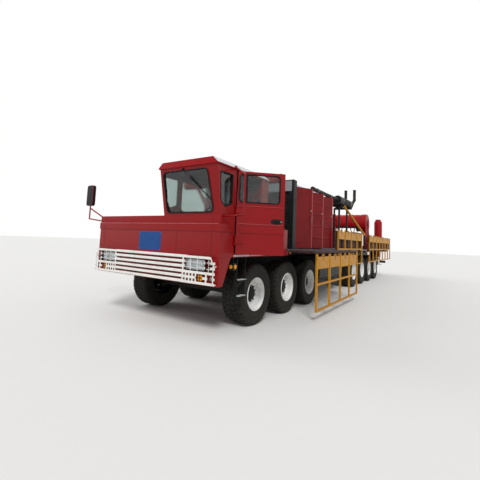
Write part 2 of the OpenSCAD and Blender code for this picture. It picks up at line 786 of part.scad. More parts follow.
module jack_leg(side) {
  color("#9a9da0") place() translate([side * jack_x, jack_y, foot_z]) {
    cylinder(h = 40, r = 170);
    cylinder(h = 1700, r = leg_r);
  }
}
module jack_leg_left() { jack_leg(1); }
module jack_leg_right() { jack_leg(-1); }

// Places children in the door's own frame, its hinge along z and its panel along +y
module on_door() { translate([door_hinge_x, door_y, 0]) rotate([0, 0, -door_open]) children(); }

// The door's window opening: lowest and highest corners in (y, z), and its divider's sides
door_window = [[hinge_gap + 35, 2150], [door_w - 88, 2600]];
divider = [hinge_gap + 126, hinge_gap + 156];

module door_opening() {
  translate((door_window[0] + door_window[1]) / 2)
    rounded_rect(door_window[1].x - door_window[0].x, door_window[1].y - door_window[0].y, 55);
}

module cab_door() {
  out = half_w - door_hinge_x;
  color("#b3161b") place() on_door() difference() {
    union() {
      block([out - cab_wall, hinge_gap, door_z], [out, door_w, door_top]);
      for (z = door_hinges) {
        translate([0, 0, z]) cylinder(h = barrel_h, r = 14);
        block([-6, 0, z], [6, 40, z + barrel_h]);
        block([out, hinge_gap + 5, z], [6, 110, z + barrel_h]);
      }
      // Pressed band, and the ledge under the window
      block([out - 1, 60, band_z], [out + band_out, door_w, band_z + band_h]);
      block([out - 1, 30, 2078], [out + 8, door_w, 2092]);
    }
    for (z = door_hinges) translate([0, 0, z - 1]) cylinder(h = barrel_h + 2, r = 6 + pin_gap);
    along_x(out - 2 * cab_wall, out + 1) door_opening();
  }
  color("#b3161b") place() on_door()
    block([out - cab_wall + 8, divider[0], door_window[0].y - 1], [out - 8, divider[1], door_window[1].y + 1]);
}

module door_glass() {
  mid = half_w - door_hinge_x - cab_wall / 2;
  color([0.55, 0.65, 0.68, 0.4]) place() on_door() {
    difference() {
      along_x(mid, mid + glass_t) door_opening();
      block([mid - 1, divider[0], door_window[0].y - 1], [mid + glass_t + 1, divider[1], door_window[1].y + 1]);
    }
  }
}

module drum() {
  rim_w = 180;
  color("#5a5c60") place() translate([0, drum_y, drum_z]) rotate([0, 90, 0]) {
    translate([0, 0, -works_half - 40]) cylinder(h = 2 * works_half + 80, r = shaft_r);
    translate([0, 0, -drum_half]) cylinder(h = 2 * drum_half, r = barrel_r);
    for (side = [-1, 1]) {
      translate([0, 0, side * drum_half - 15]) cylinder(h = 30, r = drum_r);
      translate([0, 0, side * (drum_half + rim_w / 2) - rim_w / 2]) cylinder(h = rim_w, r = drum_r - 20);
    }
  }
}

// Turns children drawn for a level walkway by the way it stands, about its hinge line
module walkway_turn(w) {
  translate([walk_hinge_x, 0, walk_hinge_z]) rotate([0, w[2] == 1 ? -90 : 0, 0]) children();
}

// One walkway in its own frame: x out from the hinge, z up
module walkway_body(w) {
  rib = 8;
  plate = 8;
  n = round((w[1] - w[0]) / 600);
  half = walk_t / 2;
  difference() {
    union() {
      difference() {
        block([walk_inner, w[0], -half], [walk_w, w[1], half]);
        for (i = [0 : n - 1])
          block([walk_inner + rib, w[0] + rib + (w[1] - w[0]) * i / n, -half - 1],
                [walk_w - rib, w[0] + (w[1] - w[0]) * (i + 1) / n - (i == n - 1 ? rib : 0), half - plate]);
      }
      for (y = hinge_ys(w), side = [-1, 1]) {
        ear = y + side * (lug_half + clear + 12);
        block([0, ear - 12, -14], [walk_inner + 1, ear + 12, 14]);
        translate([0, ear + 12, 0]) rotate([90, 0, 0]) cylinder(h = 24, r = 20);
      }
      // Pins through the deck's lugs
      for (y = hinge_ys(w))
        translate([0, y + lug_half + clear + 12, 0]) rotate([90, 0, 0]) cylinder(h = 2 * (lug_half + clear + 12), r = pin_r);
      for (y = rail_ears(w)) rail_ear(y);
    }
    for (y = rail_ears(w))
      translate([walk_w + rail_out, y + 30, -rail_drop]) rotate([90, 0, 0]) cylinder(h = 60, r = pin_r + pin_gap);
  }
}

// Positions of the ears that carry a guard rail
function rail_ears(w) = let (n = rail_bays(w))
  [for (i = [0 : n - 1]) w[0] + (w[1] - w[0]) * (i + 0.5) / n];
function rail_bays(w) = round((w[1] - w[0]) / 830);
function rail_posts(w) = let (n = rail_bays(w))
  [for (i = [0 : n]) w[0] + 30 + (w[1] - w[0] - 60) * i / n];

ear_half = 15;

module rail_ear(y) {
  translate([0, y + ear_half, 0]) rotate([90, 0, 0]) linear_extrude(2 * ear_half) {
    polygon([[walk_w - 60, 0], [walk_w, 0], [walk_w + rail_out + 20, 6 - rail_drop], [walk_w + rail_out - 18, -rail_drop - 8], [walk_w - 60, -walk_t / 2]]);
    translate([walk_w + rail_out, -rail_drop]) circle(r = 21);
  }
}

// One guard rail in its walkway's frame, hanging from the walkway's ears.
// A level walkway's rail hangs down, and an upright one's lies along its underside.
module rail_body(w) {
  turn = w[2] == 1 ? -90 : 0;
  half = rail_tube / 2;
  posts = rail_posts(w);
  translate([walk_w + rail_out, 0, -rail_drop]) rotate([0, -turn, 0]) {
    for (y = posts) block([-half, y - half, -rail_h], [half, y + half, half + 5]);
    for (z = [-rail_h, -rail_h / 2 - 40])
      block([-half, w[0] + 10, z], [half, w[1] - 10, z + rail_tube]);
    block([-4, w[0] + 10, -110 - toe_h], [4, w[1] - 10, -110]);
    // Top tube in pieces between the ears, with the pins
    for (y = rail_ears(w)) {
      for (side = [-1, 1])
        translate([0, y + side * (ear_half + clear + 15) + 15, 0]) rotate([90, 0, 0]) cylinder(h = 30, r = 18);
      translate([0, y + ear_half + clear + 16, 0]) rotate([90, 0, 0]) cylinder(h = 2 * (ear_half + clear + 16), r = pin_r);
      for (side = [-1, 1])
        block([-8, y + side * (ear_half + clear + 15) - 15, -120], [8, y + side * (ear_half + clear + 15) + 15, 0]);
    }
  }
}

module walkway(i, side) {
  color("#3a3c3f") place() mirror([side < 0 ? 1 : 0, 0, 0]) walkway_turn(WALKWAYS[i]) walkway_body(WALKWAYS[i]);
}
module guard_rail(i, side) {
  color("#e0a21a") place() mirror([side < 0 ? 1 : 0, 0, 0]) walkway_turn(WALKWAYS[i]) rail_body(WALKWAYS[i]);
}
module walkway_left_1() { walkway(0, 1); }
module walkway_left_2() { walkway(1, 1); }
module walkway_left_3() { walkway(2, 1); }
module walkway_right_1() { walkway(0, -1); }
module walkway_right_2() { walkway(2, -1); }
module rail_left_1() { guard_rail(0, 1); }
module rail_left_2() { guard_rail(1, 1); }
module rail_left_3() { guard_rail(2, 1); }
module rail_right_1() { guard_rail(0, -1); }
module rail_right_2() { guard_rail(2, -1); }

module knuckle(i, side) {
  eye = 75 + clear;
  arm = 50;
  shoulder = wheel_x - 85 - kingpin_x;
  color("#2a2b2e") place() mirror([side < 0 ? 1 : 0, 0, 0]) translate([kingpin_x, axle_y(i), tyre_r]) {
    translate([0, 0, -eye - arm]) cylinder(h = 2 * (eye + arm), r = kingpin_r);
    for (z = [-eye - arm, eye]) block([-40, -55, z], [100, 55, z + arm]);
    block([62, -55, -eye - arm], [100, 55, eye + arm]);
    rotate([0, 90, 0]) translate([0, 0, 90]) cylinder(h = shoulder - 90, r = 85);
    rotate([0, 90, 0]) translate([0, 0, 90]) cylinder(h = wheel_x + 85 - kingpin_x - 90, r = spindle_r);
  }
}
module knuckle_left_1() { knuckle(0, 1); }
module knuckle_left_2() { knuckle(1, 1); }
module knuckle_left_3() { knuckle(2, 1); }
module knuckle_right_1() { knuckle(0, -1); }
module knuckle_right_2() { knuckle(1, -1); }
module knuckle_right_3() { knuckle(2, -1); }

// Half outline of a wheel: radius, then distance outwards from its middle plane
module wheel_outline() {
  half = tyre_w / 2;
  disc = half - dish;
  bore = spindle_r + pin_gap;
  barrel = rim_r - 44;
  polygon([
    [bore, -78], [bore, 92], [0, 92], [0, 112], [80, 112], [105, 92], [105, disc + 14],
    [barrel - 16, disc + 14], [barrel, disc + 34], [barrel, half - 60], [rim_r - 20, half - 22],
    [rim_r, half - 22], [rim_r + 4, half - 8], [rim_r + 40, half - 4], [rim_r + 130, half],
    [tyre_r - 50, half - 4], [tyre_r - 14, half - 22], [tyre_r, half - 50],
    [tyre_r, 50 - half], [tyre_r - 14, 22 - half], [tyre_r - 50, 4 - half],
    [rim_r + 130, -half], [rim_r + 40, 4 - half], [rim_r + 4, 8 - half], [rim_r, 22 - half],
    [rim_r - 20, 22 - half], [barrel, 60 - half], [barrel, disc - 14], [165, disc - 14], [165, -78]]);
}

module wheel(i, side) {
  color("#1d1e20") place() mirror([side < 0 ? 1 : 0, 0, 0])
    translate([wheel_x, axle_y(i), tyre_r]) rotate([0, 90, 0]) rotate_extrude() wheel_outline();
}
module wheel_left_1() { wheel(0, 1); }
module wheel_left_2() { wheel(1, 1); }
module wheel_left_3() { wheel(2, 1); }
module wheel_left_4() { wheel(3, 1); }
module wheel_left_5() { wheel(4, 1); }
module wheel_left_6() { wheel(5, 1); }
module wheel_left_7() { wheel(6, 1); }
module wheel_right_1() { wheel(0, -1); }
module wheel_right_2() { wheel(1, -1); }
module wheel_right_3() { wheel(2, -1); }
module wheel_right_4() { wheel(3, -1); }
module wheel_right_5() { wheel(4, -1); }
module wheel_right_6() { wheel(5, -1); }
module wheel_right_7() { wheel(6, -1); }

chassis_frame();
axles();
tanks_and_lockers();
bumper();
bumper_guard();
headlamps();
nose_body();
cab_shell();
cab_roof();
cab_glass();
cab_interior();
cab_steps();
mirrors();
deck();
radiator();
engine_hood();
engine();
exhaust();
mast_rest();
drawworks_frame();
mast_base();
jack_cylinders();
cab_door();
door_glass();
drum();
engine_door_1();
engine_door_2();
engine_door_3();
walkway_left_1();
walkway_left_2();
walkway_left_3();
walkway_right_1();
walkway_right_2();
rail_left_1();
rail_left_2();
rail_left_3();
rail_right_1();
rail_right_2();
jack_leg_left();
jack_leg_right();
knuckle_left_1();
knuckle_left_2();
knuckle_left_3();
knuckle_right_1();
knuckle_right_2();
knuckle_right_3();
wheel_left_1();
wheel_left_2();
wheel_left_3();
wheel_left_4();
wheel_left_5();
wheel_left_6();
wheel_left_7();
wheel_right_1();
wheel_right_2();
wheel_right_3();
wheel_right_4();
wheel_right_5();
wheel_right_6();
wheel_right_7();
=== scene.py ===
"""Looks of a workover rig carrier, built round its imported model.

Every length is in metres in the vehicle's frame: +X to its left side, +Y to its rear and +Z up.
"""
from __future__ import annotations

import json
import logging
import math
from collections.abc import Iterable, Sequence
from dataclasses import dataclass
from enum import Enum
from typing import Any

import bmesh
import bpy
from mathutils import Matrix, Vector
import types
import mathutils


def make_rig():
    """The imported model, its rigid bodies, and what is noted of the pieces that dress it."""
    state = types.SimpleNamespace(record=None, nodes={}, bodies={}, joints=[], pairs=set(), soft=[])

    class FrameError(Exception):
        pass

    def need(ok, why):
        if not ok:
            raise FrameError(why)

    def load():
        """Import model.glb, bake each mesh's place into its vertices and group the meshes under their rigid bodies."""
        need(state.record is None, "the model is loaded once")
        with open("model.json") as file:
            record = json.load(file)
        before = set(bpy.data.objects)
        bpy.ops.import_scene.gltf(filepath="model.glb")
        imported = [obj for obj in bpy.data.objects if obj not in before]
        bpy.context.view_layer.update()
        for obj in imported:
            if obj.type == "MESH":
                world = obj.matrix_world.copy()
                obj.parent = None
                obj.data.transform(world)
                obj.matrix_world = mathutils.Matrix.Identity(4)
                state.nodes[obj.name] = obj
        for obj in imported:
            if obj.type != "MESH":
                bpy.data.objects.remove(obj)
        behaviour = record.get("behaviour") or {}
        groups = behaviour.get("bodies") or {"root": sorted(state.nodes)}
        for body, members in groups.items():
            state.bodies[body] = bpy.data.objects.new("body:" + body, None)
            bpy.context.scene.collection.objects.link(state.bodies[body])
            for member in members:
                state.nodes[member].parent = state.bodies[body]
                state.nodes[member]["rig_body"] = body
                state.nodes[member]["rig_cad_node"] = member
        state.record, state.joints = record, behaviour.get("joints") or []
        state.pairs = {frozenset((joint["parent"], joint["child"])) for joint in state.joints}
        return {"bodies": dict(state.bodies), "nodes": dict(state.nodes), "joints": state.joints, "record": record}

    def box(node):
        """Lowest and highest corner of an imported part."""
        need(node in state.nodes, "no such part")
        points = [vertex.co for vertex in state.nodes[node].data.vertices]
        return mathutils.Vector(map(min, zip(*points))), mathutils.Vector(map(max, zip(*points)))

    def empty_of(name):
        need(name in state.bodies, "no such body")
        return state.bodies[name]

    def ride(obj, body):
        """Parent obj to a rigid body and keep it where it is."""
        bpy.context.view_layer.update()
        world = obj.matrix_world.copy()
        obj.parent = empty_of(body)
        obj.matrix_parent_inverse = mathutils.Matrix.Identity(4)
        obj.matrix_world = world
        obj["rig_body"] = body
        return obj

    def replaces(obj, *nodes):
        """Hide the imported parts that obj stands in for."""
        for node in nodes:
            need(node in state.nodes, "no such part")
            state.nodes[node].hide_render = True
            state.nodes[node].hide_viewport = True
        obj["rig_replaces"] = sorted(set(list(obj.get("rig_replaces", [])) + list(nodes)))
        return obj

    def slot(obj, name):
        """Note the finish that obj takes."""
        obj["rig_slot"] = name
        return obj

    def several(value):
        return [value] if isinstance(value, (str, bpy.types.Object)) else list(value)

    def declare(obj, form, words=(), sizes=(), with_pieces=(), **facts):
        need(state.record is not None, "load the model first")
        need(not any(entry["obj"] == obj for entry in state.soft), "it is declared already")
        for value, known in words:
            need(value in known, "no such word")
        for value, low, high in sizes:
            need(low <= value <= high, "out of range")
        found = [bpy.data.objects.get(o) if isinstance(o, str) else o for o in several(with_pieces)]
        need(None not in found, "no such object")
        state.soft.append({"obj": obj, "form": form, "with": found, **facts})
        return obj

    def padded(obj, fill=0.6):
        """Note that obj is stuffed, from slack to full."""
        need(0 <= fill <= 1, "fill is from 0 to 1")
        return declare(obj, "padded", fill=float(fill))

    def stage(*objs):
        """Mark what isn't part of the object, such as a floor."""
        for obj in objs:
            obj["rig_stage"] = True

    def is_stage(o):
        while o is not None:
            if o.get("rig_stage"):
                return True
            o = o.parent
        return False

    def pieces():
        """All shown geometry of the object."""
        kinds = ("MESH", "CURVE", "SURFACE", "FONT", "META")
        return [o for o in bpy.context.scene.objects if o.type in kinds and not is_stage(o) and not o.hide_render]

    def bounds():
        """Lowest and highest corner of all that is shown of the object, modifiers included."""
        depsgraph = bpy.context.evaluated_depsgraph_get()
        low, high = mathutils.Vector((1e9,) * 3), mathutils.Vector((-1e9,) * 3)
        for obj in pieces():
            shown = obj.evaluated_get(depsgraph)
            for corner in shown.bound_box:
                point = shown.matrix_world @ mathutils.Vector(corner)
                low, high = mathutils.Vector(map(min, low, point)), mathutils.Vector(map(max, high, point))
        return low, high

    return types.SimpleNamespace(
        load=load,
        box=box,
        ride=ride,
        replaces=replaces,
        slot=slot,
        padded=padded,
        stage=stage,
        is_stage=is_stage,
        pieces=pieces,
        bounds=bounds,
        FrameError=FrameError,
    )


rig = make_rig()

log = logging.getLogger("workover_rig")

# A place given as x, y and z, and a pair of places or a place in a plane
Point = tuple[float, float, float]
Flat = tuple[float, float]

SIZE_FILE = "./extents.json"
ROOT = "root"
SIDES = (("left", 1), ("right", -1))
AXLES = 7
STEERED = 3
WALKWAYS = ("left_1", "left_2", "left_3", "right_1", "right_2")
# How many bands a metre a wave texture has at a scale of 1
WAVES_PER_METRE = 3.2
# How many patches of road dust there are a metre
DUST_PATCHES_PER_METRE = 9.0


# Small helpers for colours and shader nodes


def linear(code: str) -> tuple[float, float, float, float]:
    """Turns an sRGB hex colour into linear values.

    Args:
        code: The colour, such as "#8a1014".

    Returns:
        Red, green and blue in linear light, and an alpha of 1.
    """
    parts = [int(code[i:i + 2], 16) / 255 for i in (1, 3, 5)]
    out = [c / 12.92 if c <= 0.04045 else ((c + 0.055) / 1.055) ** 2.4 for c in parts]
    return out[0], out[1], out[2], 1.0


def add_node(tree: Any, kind: str, settings: dict[str, Any] | None = None,
             inputs: dict[Any, Any] | None = None) -> Any:
    """Adds a node to a shader tree, sets its properties and fills its sockets.

    Args:
        tree: The node tree.
        kind: The node's type without its "ShaderNode" prefix.
        settings: Values of the node's own properties.
        inputs: For each socket's name or number, a value or the output socket that feeds it.

    Returns:
        The new node.
    """
    node = tree.nodes.new("ShaderNode" + kind)
    for key, value in (settings or {}).items():
        setattr(node, key, value)
    for key, value in (inputs or {}).items():
        if isinstance(value, bpy.types.NodeSocket):
            tree.links.new(value, node.inputs[key])
        else:
            node.inputs[key].default_value = value
    return node


# Finishes


class Grain(Enum):
    """The fine pattern of a surface, finer than its shape."""

    PEEL = "the soft ripple of sprayed enamel"
    CAST = "the rough skin of a casting or of rolled steel"
    BRUSHED = "lines left by turning or grinding"
    PLATE = "raised dots of a tread plate"
    FINS = "close upright fins"
    WOVEN = "a coarse woven cloth"


@dataclass(frozen=True)
class Finish:
    """One finish: what the real surface is, its colours and its fine pattern.

    The colours and the roughness are those of the clean surface, except where a finish's comment says that a
    painted highlight, shade or reflection is in its colour. Mottle is how far patches of mottle_mm go from the
    colour to the shade. The grain is as coarse as grain_mm and stands depth_mm high. Dust, if it has a colour,
    thins out up to a height of dust_top metres. Top is the colour of what faces up; on the roof it is a
    painted reflection of the sky.
    """

    name: str
    slot: str
    colour: str
    shade: str
    roughness: float = 0.4
    metallic: float = 0.0
    specular: float = 0.14
    coat: float = 0.0
    mottle_mm: float = 500.0
    mottle: float = 0.5
    grain: Grain = Grain.PEEL
    grain_mm: float = 3.0
    depth_mm: float = 0.05
    dust: str = ""
    dust_top: float = 1.2
    top: str = ""
    transmission: float = 0.0

    def material(self) -> bpy.types.Material:
        """Builds the finish's material once.

        Returns:
            The material, the same one on every call.
        """
        made = bpy.data.materials.get(self.name)
        if made is not None:
            return made
        made = bpy.data.materials.new(self.name)
        made.use_nodes = True
        tree = made.node_tree
        shader = tree.nodes["Principled BSDF"]
        where = add_node(tree, "TexCoord").outputs["Object"]
        shader.inputs["Metallic"].default_value = self.metallic
        shader.inputs["Specular IOR Level"].default_value = self.specular
        shader.inputs["Coat Weight"].default_value = self.coat
        shader.inputs["Coat Roughness"].default_value = 0.12
        shader.inputs["Transmission Weight"].default_value = self.transmission
        colour, rough = self._colour(tree, where)
        tree.links.new(colour, shader.inputs["Base Color"])
        tree.links.new(rough, shader.inputs["Roughness"])
        bump = add_node(tree, "Bump", None, {
            "Strength": 1.0, "Distance": self.depth_mm / 1000, "Height": self._height(tree, where)})
        tree.links.new(bump.outputs["Normal"], shader.inputs["Normal"])
        return made

    def _colour(self, tree: Any, where: Any) -> tuple[Any, Any]:
        """Builds the colour and the roughness.

        Args:
            tree: The material's node tree.
            where: The socket with the point on the surface.

        Returns:
            The colour's socket and the roughness's socket.
        """
        patch = add_node(tree, "TexNoise", None, {
            "Vector": where, "Scale": 1000 / self.mottle_mm, "Detail": 5.0, "Roughness": 0.6}).outputs["Fac"]
        share = add_node(tree, "MapRange", None, {
            "Value": patch, "From Min": 0.38, "From Max": 0.72, "To Max": self.mottle}).outputs["Result"]
        colour = self._mix(tree, share, linear(self.colour), linear(self.shade))
        rough = add_node(tree, "MapRange", None, {
            "Value": patch, "From Min": 0.3, "From Max": 0.7, "To Min": max(self.roughness - 0.05, 0.02),
            "To Max": self.roughness + 0.07}).outputs["Result"]
        # Faces that look up take the top colour; on the roof this is a painted reflection of the sky
        if self.top:
            turned = add_node(tree, "TexCoord").outputs["Normal"]
            up = add_node(tree, "SeparateXYZ", None, {"Vector": turned}).outputs["Z"]
            share = add_node(tree, "MapRange", None, {
                "Value": up, "From Min": 0.3, "From Max": 0.4}).outputs["Result"]
            colour = self._mix(tree, share, colour, linear(self.top))
        if self.dust:
            share = self._dust(tree, where)
            colour = self._mix(tree, share, colour, linear(self.dust))
            rough = add_node(tree, "MapRange", None, {
                "Value": share, "To Min": rough, "To Max": 0.85}).outputs["Result"]
        return colour, rough

    def _dust(self, tree: Any, where: Any) -> Any:
        """Builds road dust that thins out with height.

        Args:
            tree: The material's node tree.
            where: The socket with the point on the surface.

        Returns:
            The socket with the dust's share, from 0 to 1.
        """
        speck = add_node(tree, "TexNoise", None, {
            "Vector": where, "Scale": DUST_PATCHES_PER_METRE, "Detail": 8.0, "Roughness": 0.7}).outputs["Fac"]
        high = add_node(tree, "SeparateXYZ", None, {"Vector": where}).outputs["Z"]
        low = add_node(tree, "MapRange", None, {
            "Value": high, "From Min": 0.0, "From Max": self.dust_top,
            "To Min": 0.75, "To Max": 0.06}).outputs["Result"]
        spread = add_node(tree, "MapRange", None, {
            "Value": speck, "From Min": 0.35, "From Max": 0.7}).outputs["Result"]
        return add_node(tree, "Math", {"operation": "MULTIPLY"}, {0: low, 1: spread}).outputs[0]

    @staticmethod
    def _mix(tree: Any, share: Any, first: Any, second: Any) -> Any:
        """Mixes two colours, each a value or a socket, and returns the result's socket."""
        return add_node(tree, "Mix", {"data_type": "RGBA"}, {0: share, 6: first, 7: second}).outputs[2]

    def _height(self, tree: Any, where: Any) -> Any:
        """Builds the height of the fine pattern.

        Args:
            tree: The material's node tree.
            where: The socket with the point on the surface.

        Returns:
            The socket with the height, from 0 to 1.
        """
        scale = 1000 / self.grain_mm
        noise = {Grain.PEEL: {"Detail": 1.0}, Grain.CAST: {"Detail": 7.0, "Roughness": 0.65},
                 Grain.BRUSHED: {"Detail": 3.0}}
        if self.grain is Grain.BRUSHED:
            where = add_node(tree, "Mapping", None, {
                "Vector": where, "Scale": (1.0, 0.05, 1.0)}).outputs["Vector"]
        if self.grain in noise:
            return add_node(tree, "TexNoise", None, {
                "Vector": where, "Scale": scale, **noise[self.grain]}).outputs["Fac"]
        ways = {Grain.FINS: "X", Grain.WOVEN: "XZ", Grain.PLATE: "XY"}[self.grain]
        waves = [add_node(tree, "TexWave", {"bands_direction": way}, {
            "Vector": where, "Scale": scale / WAVES_PER_METRE}).outputs["Fac"] for way in ways]
        if self.grain is Grain.FINS:
            return waves[0]
        if self.grain is Grain.WOVEN:
            return add_node(tree, "Math", {"operation": "MAXIMUM"}, {0: waves[0], 1: waves[1]}).outputs[0]
        dots = add_node(tree, "Math", {"operation": "MULTIPLY"}, {0: waves[0], 1: waves[1]}).outputs[0]
        return add_node(tree, "MapRange", None, {
            "Value": dots, "From Min": 0.45, "From Max": 0.8}).outputs["Result"]


# Sprayed two-part enamel: a deep even red under a clear gloss, with the soft ripple of the gun
RED = Finish("red_two_part_enamel", "body_red", "#80090e", "#7c060a", 0.33, coat=0.16,
             mottle_mm=900, mottle=0.6, grain_mm=9, depth_mm=0.06)
# The same enamel where it gets less polish, on frames and machinery
RED_FRAME = Finish("red_machinery_enamel", "body_red", "#94090e", "#670609", 0.42, coat=0.08,
                   mottle_mm=260, mottle=0.7, grain=Grain.CAST, grain_mm=12, depth_mm=0.15)
# White enamel on rolled bars: bright, with a little grey grime in its hollows
WHITE = Finish("white_alkyd_enamel", "white_enamel", "#dddbd6", "#b9b6ae", 0.4, coat=0.1,
               mottle_mm=120, mottle=0.5, grain_mm=6, depth_mm=0.05)
# White enamel on pressed steel wheels: chalkier, dusty from the road
RIM_WHITE = Finish("white_wheel_enamel", "white_enamel", "#dcdcda", "#b4b2ae", 0.45,
                   mottle_mm=90, mottle=0.6, grain=Grain.CAST, grain_mm=8, depth_mm=0.1)
# Roof enamel: red at the drip edge; faces that look up are drawn pale grey, a painted reflection of the white sky.
# Dulled by weather
ROOF = Finish("red_roof_enamel_painted_sky_reflection", "roof_grey", "#8c070c", "#6b0509", 0.45,
              mottle_mm=300, mottle=0.4, grain_mm=10, depth_mm=0.06, top="#c9ccd0")
# Light grey enamel on the step treads, scuffed by boots
TREAD_GREY = Finish("light_grey_step_enamel", "roof_grey", "#c0c2c4", "#9d9fa1", 0.5,
                    mottle_mm=60, mottle=0.5, grain_mm=10, depth_mm=0.06)
# Engine hood: the red enamel on its sides; every face that looks up is drawn grey-white
HOOD = Finish("engine_hood_enamel", "body_red", "#75070b", "#5c0508", 0.4, coat=0.08,
              mottle_mm=400, mottle=0.5, grain_mm=10, depth_mm=0.06, top="#c2c3c8")
# Engine doors: the same red with less gloss, its colour darkened as painted shade for the shade that the doors stand
# in
SHADED_DOOR_RED = Finish("red_door_enamel_painted_shade", "body_red", "#70070b", "#520508", 0.4, coat=0.08,
                  mottle_mm=350, mottle=0.6, grain_mm=10, depth_mm=0.08)
# Painted highlight: the red drawn lighter on thin strips along rounded edges and ledges, where the real enamel catches
# the sky
HIGHLIGHT_RED = Finish("red_enamel_painted_highlight", "body_red", "#a9474b", "#8f3438", 0.3, coat=0.3,
                  mottle_mm=500, mottle=0.6, grain_mm=10, depth_mm=0.05)
# Black chassis paint: satin, dulled by road dust low down
CHASSIS = Finish("black_chassis_paint", "chassis_black", "#111214", "#1c1d1f", 0.5,
                 mottle_mm=150, mottle=0.6, grain=Grain.CAST, grain_mm=14, depth_mm=0.25,
                 dust="#4a463f", dust_top=1.1)
# Black satin paint on brackets, lamps and the radiator: clean, with a dull sheen
BLACK = Finish("black_satin_paint", "chassis_black", "#0f1011", "#191a1c", 0.42,
               mottle_mm=120, mottle=0.5, grain=Grain.CAST, grain_mm=10, depth_mm=0.1)
# Tyre rubber: matt, browned in patches by road dust
RUBBER = Finish("vulcanised_tyre_rubber", "tyre", "#1d1d1b", "#37342d", 0.74, specular=0.18,
                mottle_mm=60, mottle=0.7, grain=Grain.CAST, grain_mm=5, depth_mm=0.3)
# Moulded rubber gasket: near black with a dull sheen
GASKET = Finish("moulded_rubber_gasket", "cab_trim", "#161415", "#211e1e", 0.6,
                mottle_mm=40, mottle=0.4, grain_mm=4, depth_mm=0.05)
# Tempered window glass: clear, with a faint grey-green tint
GLASS = Finish("tempered_window_glass", "window_glass", "#c3cfcc", "#bac8c4", 0.06, specular=0.5,
               mottle_mm=900, mottle=0.2, grain_mm=400, depth_mm=0.02, transmission=1.0)
# Tread plate on the deck: grey painted steel, walked bright on its raised dots.
# Real dots stand 25 mm apart; they are drawn at 60 mm so that they show.
TREAD_PLATE = Finish("painted_tread_plate", "deck_grey", "#3c3d3f", "#55565a", 0.55,
                     mottle_mm=400, mottle=0.8, grain=Grain.PLATE, grain_mm=60, depth_mm=2.0)
# The walkways' plates: red-brown primer below, grey on the walked side
WALKWAY_PLATE = Finish("primed_walkway_plate", "deck_grey", "#432a29", "#331f1e", 0.6,
                       mottle_mm=200, mottle=0.8, grain=Grain.PLATE, grain_mm=60, depth_mm=2.0, top="#3c3d3f")
# Bare galvanised strip along the deck's edge: dull grey metal with cloudy patches
ZINC = Finish("galvanised_steel", "deck_grey", "#8d8a88", "#6f6d6b", 0.45, metallic=0.6,
              mottle_mm=70, mottle=0.7, grain=Grain.CAST, grain_mm=20, depth_mm=0.1)
# Safety enamel on the guard rails: strong yellow, chipped to a duller tone at knocks
YELLOW = Finish("yellow_safety_enamel", "safety_yellow", "#b47d14", "#91600d", 0.42, coat=0.06,
                mottle_mm=110, mottle=0.5, grain_mm=8, depth_mm=0.08)
# Radiator core: black fins packed closer than the eye parts them, drawn 14 mm apart to show
CORE = Finish("black_radiator_core", "radiator_black", "#0c0d0e", "#17181a", 0.6,
              mottle_mm=200, mottle=0.5, grain=Grain.FINS, grain_mm=14, depth_mm=4.0)
# Rolled steel sheet in grey primer: flat and slightly uneven
PRIMER = Finish("grey_primed_sheet", "roof_grey", "#84878a", "#6e7174", 0.5,
                mottle_mm=220, mottle=0.7, grain_mm=12, depth_mm=0.08)
# Cast iron in grey paint on the engine: a rough skin, darkened by oil in patches
ENGINE = Finish("grey_painted_cast_iron", "engine_grey", "#45484b", "#2d2f31", 0.55,
                mottle_mm=90, mottle=0.8, grain=Grain.CAST, grain_mm=18, depth_mm=0.8)
# Heat-proof black on the mufflers: matt, browned by heat in patches
HEAT_BLACK = Finish("heat_proof_black_paint", "exhaust_black", "#1b1b1c", "#3a2e28", 0.62,
                    mottle_mm=260, mottle=0.7, grain=Grain.CAST, grain_mm=16, depth_mm=0.3)
# Turned steel of the drum, bands, bolts and handles: bright, with the fine lines of the tool
STEEL = Finish("turned_carbon_steel", "drum_steel", "#8d8c8a", "#5f5a55", 0.34, metallic=0.9,
               mottle_mm=80, mottle=0.6, grain=Grain.BRUSHED, grain_mm=3, depth_mm=0.05)
# Hard chrome on the jack legs: ground smooth, nearly a mirror
CHROME = Finish("hard_chromed_steel", "leg_steel", "#c3c4c6", "#aaabad", 0.16, metallic=1.0,
                mottle_mm=200, mottle=0.3, grain=Grain.BRUSHED, grain_mm=4, depth_mm=0.01)
# Dark moulded plastic inside the cab: matt, with a leather-like grain
PLASTIC = Finish("moulded_dark_plastic", "cab_trim", "#2a2c2e", "#1f2122", 0.6,
                 mottle_mm=150, mottle=0.4, grain=Grain.CAST, grain_mm=6, depth_mm=0.2)
# Seat cloth: a coarse grey weave. Its threads are drawn 9 mm apart so that they show.
CLOTH = Finish("woven_seat_cloth", "cab_trim", "#3b4046", "#2c3035", 0.9,
               mottle_mm=120, mottle=0.5, grain=Grain.WOVEN, grain_mm=9, depth_mm=0.8)
# Dark grey enamel on lockers and tanks: half gloss, dusty low down
LOCKER = Finish("dark_grey_locker_enamel", "locker_grey", "#303236", "#222427", 0.45,
                mottle_mm=300, mottle=0.6, grain_mm=12, depth_mm=0.08, dust="#55514a", dust_top=1.0)
# Moulded clear lens of the lamps: clear, with upright flutes
LENS = Finish("clear_lamp_lens", "lamp_glass", "#eef1f2", "#dfe4e6", 0.08, specular=0.5,
              mottle_mm=50, mottle=0.3, grain=Grain.FINS, grain_mm=12, depth_mm=0.8, transmission=0.85)
# Moulded amber lens: a deep orange with fine flutes
AMBER = Finish("amber_lamp_lens", "lamp_glass", "#cf861e", "#b06f14", 0.25, coat=0.3,
               mottle_mm=60, mottle=0.4, grain=Grain.FINS, grain_mm=10, depth_mm=0.5)
